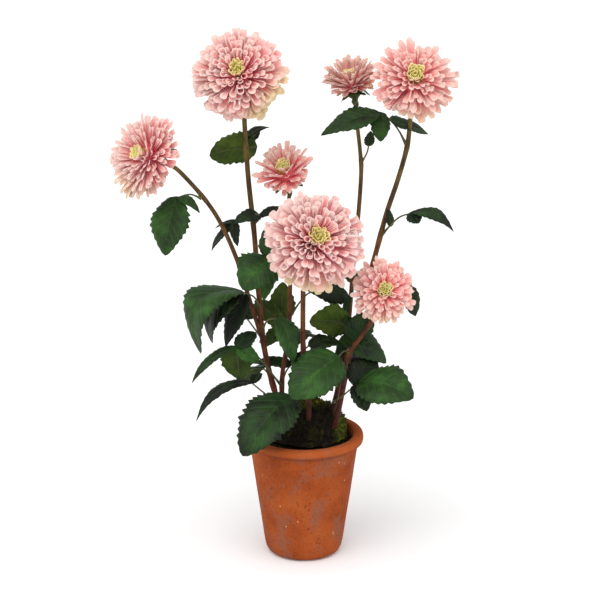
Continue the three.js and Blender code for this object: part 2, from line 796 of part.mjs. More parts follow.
for (const name of Object.keys(stems)) {
  add(plant, `stem_${name}`, toGeometry(mainBody(stemSolid(name))), colours.stem, 0.7);
}

const random = seededRandom(41);
const heartAxis = new THREE.Vector3(0, 0, 1);
for (const [name, bloom] of Object.entries(blooms)) {
  const shoot = Object.values(stems).flat().find((candidate) => candidate.bloom === name);
  const head = new THREE.Group();
  head.position.set(...bloom.centre);
  head.quaternion.setFromUnitVectors(heartAxis, vector(bloom.faces).normalize());
  plant.add(head);
  add(head, `petals_${name}`, petalsGeometry(bloom, random), colours.petal, 0.75);
  add(head, `heart_${name}`, heartGeometry(bloom), colours.heart, 0.75);
  add(head, `calyx_${name}`, calyxGeometry(bloom, shoot.top), colours.sepal, 0.6);
}

for (const [name, leaf] of Object.entries(leaves)) {
  add(plant, `leaf_${name}`, leafGeometry(leaf), colours.leaf, 0.45);
}

export default plant;
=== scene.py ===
# Potted pompon dahlia: petals, hearts, leaves, stems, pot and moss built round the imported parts.
import math
import random

import bmesh
import bpy
from mathutils import Matrix, Vector, noise


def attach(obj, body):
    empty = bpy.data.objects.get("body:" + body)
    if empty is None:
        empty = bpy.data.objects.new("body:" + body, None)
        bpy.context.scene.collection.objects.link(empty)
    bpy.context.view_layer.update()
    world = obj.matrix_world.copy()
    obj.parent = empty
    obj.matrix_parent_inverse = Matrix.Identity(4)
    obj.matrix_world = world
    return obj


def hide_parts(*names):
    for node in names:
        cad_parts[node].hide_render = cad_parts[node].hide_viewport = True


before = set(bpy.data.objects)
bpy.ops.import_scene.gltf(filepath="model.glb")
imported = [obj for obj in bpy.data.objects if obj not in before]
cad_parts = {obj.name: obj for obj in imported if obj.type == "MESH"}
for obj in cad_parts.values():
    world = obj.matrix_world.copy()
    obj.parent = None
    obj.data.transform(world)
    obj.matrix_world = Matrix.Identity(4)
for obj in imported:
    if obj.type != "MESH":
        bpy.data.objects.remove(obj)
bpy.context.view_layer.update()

mm = 0.001
goldenTurn = math.pi * (3 - math.sqrt(5))


# Small helpers
def lerp(low, high, share):
    return low + (high - low) * share


def smooth(value, low, high):
    share = min(1, max(0, (value - low) / (high - low)))
    return share * share * (3 - 2 * share)


def place(point):
    return Vector(point) * mm


def squaredTo(axis, direction):  # what is left of a direction across the axis
    return (direction - axis * direction.dot(axis)).normalized()


def camel(name):
    return "".join(word.capitalize() for word in name.split("_"))


def tint(red, green, blue):  # screen colour, 0 to 255, to the linear colour of a node
    return tuple(((c / 255 + 0.055) / 1.055) ** 2.4 if c > 10 else c / 3294 for c in (red, green, blue)) + (1,)


def grey(level):
    return (level, level, level, 1)


def startMaterial(name, roughness, specular):
    material = bpy.data.materials.new(name)
    material.use_nodes = True
    shader = material.node_tree.nodes["Principled BSDF"]
    shader.inputs["Roughness"].default_value = roughness
    shader.inputs["Specular IOR Level"].default_value = specular
    return material, shader


def feed(value, socket):  # a socket is linked, anything else is typed in
    if isinstance(value, bpy.types.NodeSocket):
        socket.id_data.links.new(value, socket)
    else:
        socket.default_value = value


def addNode(tree, kind, values=None, **settings):
    made = tree.nodes.new(kind)
    for key, value in settings.items():
        setattr(made, key, value)
    for key, value in (values or {}).items():
        feed(value, made.inputs[key])
    return made


def treeOf(values):
    return next(value.id_data for value in values if isinstance(value, bpy.types.NodeSocket))


def objectPlace(material):
    return addNode(material.node_tree, "ShaderNodeTexCoord").outputs["Object"]


def sheetPlace(material):  # across and along a petal or a leaf, 0 to 1
    return addNode(material.node_tree, "ShaderNodeUVMap").outputs["UV"]


def pieceNote(material, name):  # a number that the piece's vertices carry
    return addNode(material.node_tree, "ShaderNodeAttribute", attribute_name=name).outputs["Fac"]


def calc(operation, *values, clamp=False):
    made = addNode(treeOf(values), "ShaderNodeMath", operation=operation, use_clamp=clamp)
    for socket, value in zip(made.inputs, values):
        feed(value, socket)
    return made.outputs[0]


def axisParts(vector):
    return addNode(vector.id_data, "ShaderNodeSeparateXYZ", {"Vector": vector}).outputs


def ramp(value, stops):  # stops: a place and a screen colour or a grey level
    made = addNode(value.id_data, "ShaderNodeValToRGB", {"Fac": value})
    points = made.color_ramp.elements
    while len(points) < len(stops):
        points.new(0.5)
    for point, (position, colour) in zip(points, stops):
        point.position = position
        point.color = tint(*colour) if isinstance(colour, tuple) else grey(colour)
    return made.outputs["Color"]


def mixColour(share, first, second, blend="MIX"):
    made = addNode(treeOf((share, first, second)), "ShaderNodeMix", data_type="RGBA", blend_type=blend)
    feed(share, made.inputs["Factor"])
    for colour, socket in ((first, made.inputs[6]), (second, made.inputs[7])):
        feed(tint(*colour) if isinstance(colour, tuple) else colour, socket)
    return made.outputs[2]


def grain(vector, scale, detail=3, roughness=0.55):
    return addNode(vector.id_data, "ShaderNodeTexNoise", {
        "Vector": vector, "Scale": scale, "Detail": detail, "Roughness": roughness}).outputs["Fac"]


def stretched(vector, scale, shift=(0, 0, 0)):
    return addNode(vector.id_data, "ShaderNodeMapping", {
        "Vector": vector, "Scale": scale, "Location": shift}).outputs["Vector"]


def addBump(shader, height, strength, distance):
    bump = addNode(height.id_data, "ShaderNodeBump", {
        "Height": height, "Strength": strength, "Distance": distance})
    feed(bump.outputs["Normal"], shader.inputs["Normal"])


def addMesh(name, bm, materials):
    mesh = bpy.data.meshes.new(name)
    bm.to_mesh(mesh)
    bm.free()
    for material in materials:
        mesh.materials.append(material)
    made = bpy.data.objects.new(name, mesh)
    bpy.context.scene.collection.objects.link(made)
    return made


def newPiece(name, bm, materials, replaced):
    piece = addMesh(name, bm, materials)
    piece.data.polygons.foreach_set("use_smooth", [True] * len(piece.data.polygons))
    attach(piece, "root")
    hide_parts(*replaced)
    return piece


def thicken(piece, thickness):  # the new underside takes the next material
    wall = piece.modifiers.new("Wall", "SOLIDIFY")
    wall.thickness = thickness * mm
    wall.offset = -1
    wall.material_offset = 1


def spinLine(bm, profile, turns, scale=mm):  # a line of radius and height, turned round the upright axis
    line = [bm.verts.new(Vector((radius, 0, level)) * scale) for radius, level in profile]
    edges = [bm.edges.new(pair) for pair in zip(line, line[1:])]
    bmesh.ops.spin(bm, geom=line + edges, axis=(0, 0, 1), cent=(0, 0, 0), angle=math.tau, steps=turns,
                   use_merge=True, use_duplicate=False)


def closePoles(bm, distance):
    bmesh.ops.remove_doubles(bm, verts=bm.verts, dist=distance)
    bmesh.ops.recalc_face_normals(bm, faces=bm.faces)


def smoothWay(points, steps):  # a smooth curve through the points
    way = []
    for i in range(len(points) - 1):
        before, start = points[max(0, i - 1)], points[i]
        end, after = points[i + 1], points[min(len(points) - 1, i + 2)]
        for step in range(steps):
            t = step / steps
            way.append(0.5 * (2 * start + (end - before) * t + (2 * before - 5 * start + 4 * end - after) * t * t
                              + (3 * start - before - 3 * end + after) * t ** 3))
    return way + [points[-1]]


def addBar(bm, way, radii, sides):  # a ring is drawn along the way, turned and scaled at each step
    heading = (way[1] - way[0]).normalized()
    start = Matrix.Translation(way[0]) @ heading.to_track_quat("Z", "Y").to_matrix().to_4x4()
    ring = bmesh.ops.create_circle(bm, cap_ends=True, segments=sides, radius=radii[0], matrix=start)["verts"]
    edges = list(dict.fromkeys(edge for vert in ring for edge in vert.link_edges))
    first = ring[0].link_faces[0]
    if first.normal.dot(heading) > 0:
        bmesh.ops.reverse_faces(bm, faces=[first])
    for i in range(1, len(way)):
        onward = (way[min(i + 1, len(way) - 1)] - way[i - 1]).normalized()
        turn = heading.rotation_difference(onward).to_matrix().to_4x4()
        drawn = bmesh.ops.extrude_edge_only(bm, edges=edges)["geom"]
        ring = [item for item in drawn if isinstance(item, bmesh.types.BMVert)]
        edges = [item for item in drawn if isinstance(item, bmesh.types.BMEdge)
                 and all(vert in ring for vert in item.verts)]
        move = (Matrix.Translation(way[i]) @ turn @ Matrix.Scale(radii[i] / radii[i - 1], 4)
                @ Matrix.Translation(-way[i - 1]))
        bmesh.ops.transform(bm, verts=ring, matrix=move)
        heading = onward
    bmesh.ops.edgeloop_fill(bm, edges=edges)


# Camera and studio, as in the photograph
view = {"aim": (-4.5, 0, 300), "distance": 2200, "down": 17, "lens": 118.1, "sensor": 36}
studio = {"keyStrength": 1.46, "keySpread": 60, "keyFrom": (-32, 56), "fillStrength": 0.6, "fillSpread": 80,
          "fillFrom": (50, 35), "skyStrength": 0.8, "floorSize": 60, "floorShade": 0.93, "floorDrop": 0.0002}


def setCamera():
    down = math.radians(view["down"])
    camera = bpy.data.objects.new("camera", bpy.data.cameras.new("camera"))
    camera.data.lens = view["lens"]
    camera.data.sensor_width = view["sensor"]
    camera.location = place(view["aim"]) + place((0, -math.cos(down), math.sin(down))) * view["distance"]
    camera.rotation_euler = (math.pi / 2 - down, 0, 0)
    bpy.context.scene.collection.objects.link(camera)
    bpy.context.scene.camera = camera


def addSun(name, strength, spread, direction):  # direction: turn from the front and height, in degrees
    light = bpy.data.lights.new(name, "SUN")
    light.energy = strength
    light.angle = math.radians(spread)
    sun = bpy.data.objects.new(name, light)
    turn, height = (math.radians(angle) for angle in direction)
    sun.rotation_euler = (math.pi / 2 - height, 0, turn)
    bpy.context.scene.collection.objects.link(sun)


def makeStudio():
    world = bpy.data.worlds.new("studio")
    world.use_nodes = True
    sky = world.node_tree.nodes["Background"]
    sky.inputs["Color"].default_value = grey(1)
    sky.inputs["Strength"].default_value = studio["skyStrength"]
    bpy.context.scene.world = world
    bpy.context.scene.view_settings.view_transform = "Standard"
    addSun("key", studio["keyStrength"], studio["keySpread"], studio["keyFrom"])
    addSun("fill", studio["fillStrength"], studio["fillSpread"], studio["fillFrom"])
    material, shader = startMaterial("paleFloor", 0.9, 0.1)
    shader.inputs["Base Color"].default_value = grey(studio["floorShade"])
    bm = bmesh.new()
    bmesh.ops.create_grid(bm, x_segments=1, y_segments=1, size=studio["floorSize"] / 2)
    bmesh.ops.translate(bm, verts=bm.verts, vec=(0, 0, -studio["floorDrop"]))
    floor = addMesh("floor", bm, [material])


setCamera()
makeStudio()
print("camera and studio ready")


# Pot: turned terracotta with a rolled lip
potPlan = {"height": 144, "rim": 68, "mouth": 56, "lip": 10, "neck": 62, "foot": 45, "base": 38, "floor": 12,
           "floorRadius": 35, "turns": 128, "wobble": 0.35}


def potMaterial():
    material, shader = startMaterial("terracotta", 0.9, 0.12)
    where = objectPlace(material)
    clouds = grain(where, 26, 5, 0.6)
    clay = ramp(clouds, [(0.3, (134, 60, 26)), (0.5, (154, 72, 31)), (0.7, (166, 84, 40))])
    patches = grain(stretched(where, (1, 1, 0.8), (3.1, 0.4, 0.2)), 34, 6, 0.68)
    worn = ramp(patches, [(0.5, 0), (0.62, 0.75), (0.75, 0.9)])
    patched = mixColour(worn, clay, (136, 84, 64))
    fine = grain(where, 420, 2, 0.6)
    speckle = ramp(fine, [(0.3, (120, 54, 32)), (0.42, 1), (0.66, 1), (0.75, (255, 226, 196))])
    sanded = mixColour(0.55, patched, speckle, "MULTIPLY")
    cells = addNode(material.node_tree, "ShaderNodeTexVoronoi", {"Vector": where, "Scale": 150}).outputs
    drawn = addNode(material.node_tree, "ShaderNodeSeparateColor", {"Color": cells["Color"]}).outputs["Red"]
    dots = calc("MULTIPLY", calc("LESS_THAN", cells["Distance"], 0.13), calc("GREATER_THAN", drawn, 0.86))
    dotted = mixColour(dots, sanded, (204, 150, 110))
    level = calc("MULTIPLY", axisParts(where)["Z"], 1000 / potPlan["height"])
    lipBase = 1 - potPlan["lip"] / potPlan["height"]
    # Painted light: from just above its lower edge upward, the lip is a lighter orange where light falls on it
    # from above
    litLipMask = ramp(level, [(lipBase + 0.01, 0), (lipBase + 0.03, 0.5)])
    litLipColour = mixColour(litLipMask, dotted, (178, 90, 44))
    # Painted shade: a dark band round the lip's lower edge, where the lip shades the wall under it
    underLipShade = ramp(level, [(lipBase - 0.03, 0), (lipBase - 0.004, 0.55), (lipBase + 0.012, 0.2),
                           (lipBase + 0.02, 0)])
    feed(mixColour(underLipShade, litLipColour, (92, 44, 26)), shader.inputs["Base Color"])
    rough = calc("ADD", calc("MULTIPLY", fine, 0.25), grain(where, 90, 3))
    addBump(shader, rough, 0.6, 0.0008)
    return material


def potProfile():
    base, foot, neck, mouth, rim = (potPlan[key] for key in ("base", "foot", "neck", "mouth", "rim"))
    height, lipBase = potPlan["height"], potPlan["height"] - potPlan["lip"]
    floor, floorRadius = potPlan["floor"], potPlan["floorRadius"]
    underside = [(0, 0.6), (base - 8, 0.6), (base - 5, 0), (base - 2, 0), (foot - 6.2, 0.9), (foot - 3.2, 3),
                 (foot - 1.4, 6.4), (foot - 0.3, 11), (foot + 0.6, 16)]
    wall = [(lerp(foot + 0.6, neck, share), lerp(16, lipBase - 2, share)) for share in (0.25, 0.5, 0.75, 1)]
    lip = [(neck + 0.2, lipBase - 0.4), (neck + 0.8, lipBase), (rim - 1.6, lipBase + 0.2),
           (rim - 0.5, lipBase + 0.9), (rim, lipBase + 2.4), (rim, lipBase + 5.2), (rim - 0.5, height - 2.8),
           (rim - 1.8, height - 1), (rim - 3.6, height - 0.1), (mouth + 5, height), (mouth + 2.6, height - 0.5),
           (mouth + 0.9, height - 1.8), (mouth + 0.1, height - 4), (mouth - 1.6, height - 14)]
    return underside + wall + lip + [(floorRadius + 1, floor + 3), (floorRadius - 3, floor), (0, floor)]


def makePot():
    bm = bmesh.new()
    spinLine(bm, potProfile(), potPlan["turns"])
    closePoles(bm, 1e-6)
    for vert in bm.verts:
        if vert.co.z > 0.002:  # the underside stays flat
            around = Vector((vert.co.x, vert.co.y, 0)).normalized()
            vert.co += around * potPlan["wobble"] * mm * noise.noise(vert.co * 38)
    newPiece("terracottaPot", bm, [potMaterial()], ["pot"])


makePot()
print("pot turned")


# Soil and moss in the pot's mouth
soilPlan = {"top": 135, "radius": 53.6, "bottom": 12.6, "bottomRadius": 33, "turns": 96, "relief": 0.7,
            "crumbs": 420, "crumbSize": (0.6, 1.5), "seed": 5}
# crest, rightEdge and backEdge: where the green begins and is full; outside them the front stays dark earth,
# partly dark soil and partly painted shade from the leaves
mossPlan = {"centre": (3, 8), "radius": 46, "crown": (6, 17), "crownReach": (45, 37), "crownHeight": 37,
            "base": 138.8, "skirt": 2.6, "rings": 26, "turns": 104, "relief": 1.4, "fine": 1.5,
            "crest": (170, 175), "rightEdge": (31, 41), "backEdge": (22, 34), "patches": (0.68, 0.9),
            "tufts": 2600, "tuftHeight": (1.6, 3.8), "tuftRadii": (0.55, 0.05), "seed": 12}


def earthMaterial(name, greenShare=None):  # with no share, the green follows the moss's green-and-shade note: moss where it grows, dark earth on the front that is partly painted shade
    material, shader = startMaterial(name, 0.95, 0.15)
    where = objectPlace(material)
    crumbs = grain(where, 240, 4, 0.7)
    earth = ramp(crumbs, [(0.3, (9, 8, 5)), (0.5, (22, 18, 12)), (0.7, (48, 38, 26))])
    tufted = ramp(crumbs, [(0.3, (28, 32, 8)), (0.5, (70, 76, 20)), (0.7, (128, 130, 44))])
    if greenShare is None:
        green = pieceNote(material, "greenAndShade")
    else:
        green = ramp(grain(where, 60, 3), [(0.5, 0), (0.68, greenShare)])
    feed(mixColour(green, earth, tufted), shader.inputs["Base Color"])
    addBump(shader, crumbs, 0.8, 0.0015)
    return material


def makeSoil():
    plan, draw = soilPlan, random.Random(soilPlan["seed"])
    top, radius = plan["top"], plan["radius"]
    profile = [(0, plan["bottom"]), (plan["bottomRadius"], plan["bottom"]), (radius - 0.4, top - 4),
               (radius, top - 1), (radius - 1.2, top)]
    profile += [(radius * share, top) for share in (0.95, 0.9, 0.85, 0.8, 0.7, 0.5, 0.25, 0)]
    bm = bmesh.new()
    spinLine(bm, profile, plan["turns"])
    closePoles(bm, 1e-6)
    for vert in bm.verts:
        if vert.co.z > (top - 0.5) * mm:
            vert.co.z += plan["relief"] * 2 * mm * (noise.noise(vert.co * 160) + 0.4 * noise.noise(vert.co * 420))
    for _ in range(plan["crumbs"]):
        turn, reach = draw.uniform(0, math.tau), radius * math.sqrt(draw.uniform(0.55, 0.9))
        size = draw.uniform(*plan["crumbSize"]) * mm
        crumb = bmesh.ops.create_icosphere(bm, subdivisions=1, radius=size)["verts"]
        bmesh.ops.scale(bm, verts=crumb, vec=(1, draw.uniform(0.5, 1), draw.uniform(0.5, 0.9)))
        bmesh.ops.rotate(bm, verts=crumb, cent=(0, 0, 0), matrix=Matrix.Rotation(turn * 3, 3, "X"))
        spot = (reach * math.cos(turn), reach * math.sin(turn), top + draw.uniform(0, 1))
        bmesh.ops.translate(bm, verts=crumb, vec=place(spot))
    newPiece("darkSoil", bm, [earthMaterial("soil", 0.35)], ["soil"])


def mossRise(x, y):
    (crownX, crownY), (reachX, reachY) = mossPlan["crown"], mossPlan["crownReach"]
    spread = ((x - crownX) / reachX) ** 2 + ((y - crownY) / reachY) ** 2
    mound = mossPlan["crownHeight"] * max(0, 1 - spread) ** 0.6
    lumps = math.sin(0.42 * x + 1.1) * math.cos(0.37 * y) + math.sin(0.23 * (x + y))
    fine = noise.noise(Vector((x, y, 3)) * 0.16) + 0.6 * noise.noise(Vector((x, y, 7)) * 0.45)
    return mound + mossPlan["relief"] * lumps + mossPlan["fine"] * fine


def mossGreenAndShade(x, y, height):  # green on the top edge, on the right, behind and in loose patches; elsewhere, mostly on the front, dark earth that is partly soil and partly painted shade from the leaves
    patch = smooth(noise.noise(Vector((x, y, height)) * 0.09) + 0.5, *mossPlan["patches"])
    crest = smooth(height, *mossPlan["crest"])
    right, back = smooth(x, *mossPlan["rightEdge"]), smooth(y, *mossPlan["backEdge"])
    return min(1, max(0.25 * patch, crest, right * 0.95, back))


def addTuft(bm, greenAndShade, draw):
    plan = mossPlan
    turn, reach = draw.uniform(0, math.tau), plan["radius"] * math.sqrt(draw.uniform(0, 0.97))
    x, y = plan["centre"][0] + reach * math.cos(turn), plan["centre"][1] + reach * math.sin(turn)
    foot = plan["base"] + mossRise(x, y)
    green = mossGreenAndShade(x, y, foot)
    if draw.random() > 0.06 + 0.9 * green:
        return
    tall = draw.uniform(*plan["tuftHeight"]) * (0.6 + 0.4 * green)
    wide, narrow = (radius * mm for radius in plan["tuftRadii"])
    tuft = bmesh.ops.create_cone(bm, cap_ends=False, segments=3, radius1=wide, radius2=narrow,
                                 depth=tall * mm)["verts"]
    lean = Vector((x - plan["crown"][0], y - plan["crown"][1], 26 + draw.uniform(-8, 8))).normalized()
    lean += Vector((draw.uniform(-0.5, 0.5), draw.uniform(-0.5, 0.5), 0))
    standing = Matrix.Translation(place((x, y, foot - 0.4))) @ lean.to_track_quat("Z", "Y").to_matrix().to_4x4()
    bmesh.ops.transform(bm, verts=tuft, matrix=standing @ Matrix.Translation((0, 0, tall * mm / 2)))
    for vert in tuft:
        vert[greenAndShade] = max(green, 0.7)


def makeMoss():
    plan, draw = mossPlan, random.Random(mossPlan["seed"])
    bm = bmesh.new()
    greenAndShade = bm.verts.layers.float.new("greenAndShade")
    profile = [(0, 0), (plan["radius"] - 3, 0)]
    profile += [(plan["radius"] * (1 - ring / plan["rings"]), 1) for ring in range(plan["rings"] + 1)]
    spinLine(bm, profile, plan["turns"], 1)
    closePoles(bm, 1e-4)
    for vert in bm.verts:  # the disc's lower face sinks into the soil, its upper face rises to the mound
        x, y = vert.co.x + plan["centre"][0], vert.co.y + plan["centre"][1]
        height = plan["base"] + (mossRise(x, y) if vert.co.z > 0.5 else -plan["skirt"])
        vert.co = place((x, y, max(height, plan["base"] - plan["skirt"])))
        vert[greenAndShade] = mossGreenAndShade(x, y, height)
    for _ in range(plan["tufts"]):
        addTuft(bm, greenAndShade, draw)
    newPiece("mossMound", bm, [earthMaterial("moss")], ["moss"])


makeSoil()
makeMoss()
print("soil and moss laid")


# Where the blooms stand, which the stems and the petals both follow
bloomNames = ("top_left", "left", "small_left", "centre", "low_right", "top_right", "small_right")


def byBloom(table):  # the values of each bloom, from a table with one column per bloom
    return {name: {key: row[i] for key, row in table.items()} for i, name in enumerate(bloomNames)}


bloomPlan = byBloom({
    "centre": ([-70, 15, 549], [-171, -13, 467], [-21, 45, 434], [10, -50, 380], [86, -45, 323], [119, 5, 547],
               [53, 45, 536]),
    "faces": ([-0.11, -0.81, 0.575], [-0.67, -0.6, 0.43], [-0.18, -0.6, 0.78], [0.22, -0.81, 0.545],
              [0.14, -0.875, 0.46], [0.03, -0.8, 0.6], [-0.22, -0.3, 0.93]),
    "radius": (52, 48, 37, 55, 36, 47, 33),
    "depth": (0.95, 0.68, 0.9, 0.95, 0.8, 0.85, 0.95),
    "spread": (146, 112, 92, 146, 130, 134, 100),  # how far round the petals go from the bloom's axis, in degrees
    "lastReach": (0.72, 0.85, 0.75, 0.6, 0.85, 0.8, 0.75),  # length of the last petals
    "heart": (0.19, 0.23, 0.3, 0.235, 0.36, 0.29, 0.17),  # width of the heart
    "stemTop": (2.5, 2.3, 2.1, 2.7, 2.3, 2.4, 2),  # radius of its stem at the bloom
    "stemFoot": (3.5, 2.6, 3, 3.2, 2.6, 3.4, 3),  # radius of its stem at the foot or fork
})


# Stems: round shoots that root in the soil, each from its bloom down. Two of the stems fork
stemPlan = {"sides": 12, "stepsPerPoint": 6, "neck": 6, "calyxDepth": 0.66, "swelling": 0.16, "swellReach": (2, 9)}
stems = {
    "left": {
        "top_left": [
            [-66, 49, 514], [-66, 44, 490], [-62, 34, 430], [-56, 24, 374], [-51, 16, 307], [-47, 10, 256],
            [-41, 6, 221], [-33, 3, 190], [-22, 0, 151], [-16, -4, 104]],
        "left": [
            [-148, 4, 454], [-136, 6, 445], [-109, 8, 413], [-91, 10, 383], [-74, 11, 341], [-61, 11, 296],
            [-47, 9, 252]],
    },
    "small_left": {
        "small_left": [
            [-17, 66, 398], [-15, 58, 376], [-15, 42, 345], [-16, 28, 291], [-18, 22, 246], [-24, 16, 212],
            [-25, 12, 182], [-21, 8, 148], [-20, 10, 104]],
    },
    "centre": {
        "centre": [
            [0, -12, 341], [-1, -11, 316], [-1, -10, 249], [2, -9, 209], [5, -9, 185], [6, -8, 146],
            [7, -9, 104]],
    },
    "right": {
        "top_right": [
            [118, 35, 512], [117, 34, 495], [114, 30, 468], [104, 26, 431], [92, 21, 395], [79, 14, 346],
            [64, 7, 292], [54, 2, 246], [46, -2, 206], [38, -5, 165], [31, -6, 139], [27, -9, 104]],
        "low_right": [
            [80, -19, 296], [75, -20, 281], [63, -18, 262], [52, -14, 244], [46, -8, 222], [44, -3, 198]],
    },
    "small_right": {
        "small_right": [
            [57, 47, 503], [60, 48, 482], [63, 47, 456], [64, 45, 435], [61, 38, 388], [56, 32, 337],
            [52, 26, 280], [47, 20, 234], [38, 12, 189], [30, 5, 155], [22, 1, 133], [18, 4, 104]],
    },
}


def shootWay(bloom, points):
    back = -Vector(bloom["faces"]).normalized()
    end = Vector(bloom["centre"]) + back * (bloom["radius"] * bloom["depth"] * stemPlan["calyxDepth"] + 0.35)
    way = [end, end + back * stemPlan["neck"]] + [Vector(point) for point in points]
    return [point * mm for point in smoothWay(way, stemPlan["stepsPerPoint"])]


def stemMaterial():
    material, shader = startMaterial("stemBark", 0.55, 0.2)
    where = objectPlace(material)
    level = calc("MULTIPLY", axisParts(where)["Z"], 1.6)
    aged = ramp(level, [(0.2, (88, 44, 34)), (0.34, (108, 56, 34)), (0.5, (124, 76, 40)), (0.66, (110, 82, 42)),
                        (0.85, (122, 110, 54))])
    streaks = grain(stretched(where, (1, 1, 0.12)), 620, 3, 0.6)
    shade = ramp(streaks, [(0.3, (120, 110, 100)), (0.5, (225, 225, 220)), (0.7, (255, 255, 250))])
    blotches = ramp(grain(where, 55, 3), [(0.35, (130, 104, 90)), (0.6, 1)])
    barked = mixColour(0.7, mixColour(0.85, aged, shade, "MULTIPLY"), blotches, "MULTIPLY")
    feed(barked, shader.inputs["Base Color"])
    addBump(shader, streaks, 0.5, 0.0004)
    return material


def makeStems():
    bark = stemMaterial()
    joints = [place(points[0]) for points, _ in leaves.values()]
    nearest, farthest = (reach * mm for reach in stemPlan["swellReach"])
    for name, shoots in stems.items():
        bm = bmesh.new()
        for bloomName, points in shoots.items():
            bloom = bloomPlan[bloomName]
            way = shootWay(bloom, points)
            radii = []
            for i, point in enumerate(way):
                radius = lerp(bloom["stemTop"], bloom["stemFoot"], i / (len(way) - 1))
                near = min((point - joint).length for joint in joints)
                radii.append(radius * mm * (1 + stemPlan["swelling"] * (1 - smooth(near, nearest, farthest))))
            addBar(bm, way, radii, stemPlan["sides"])
        newPiece("stem" + camel(name), bm, [bark], ["stem_" + name])
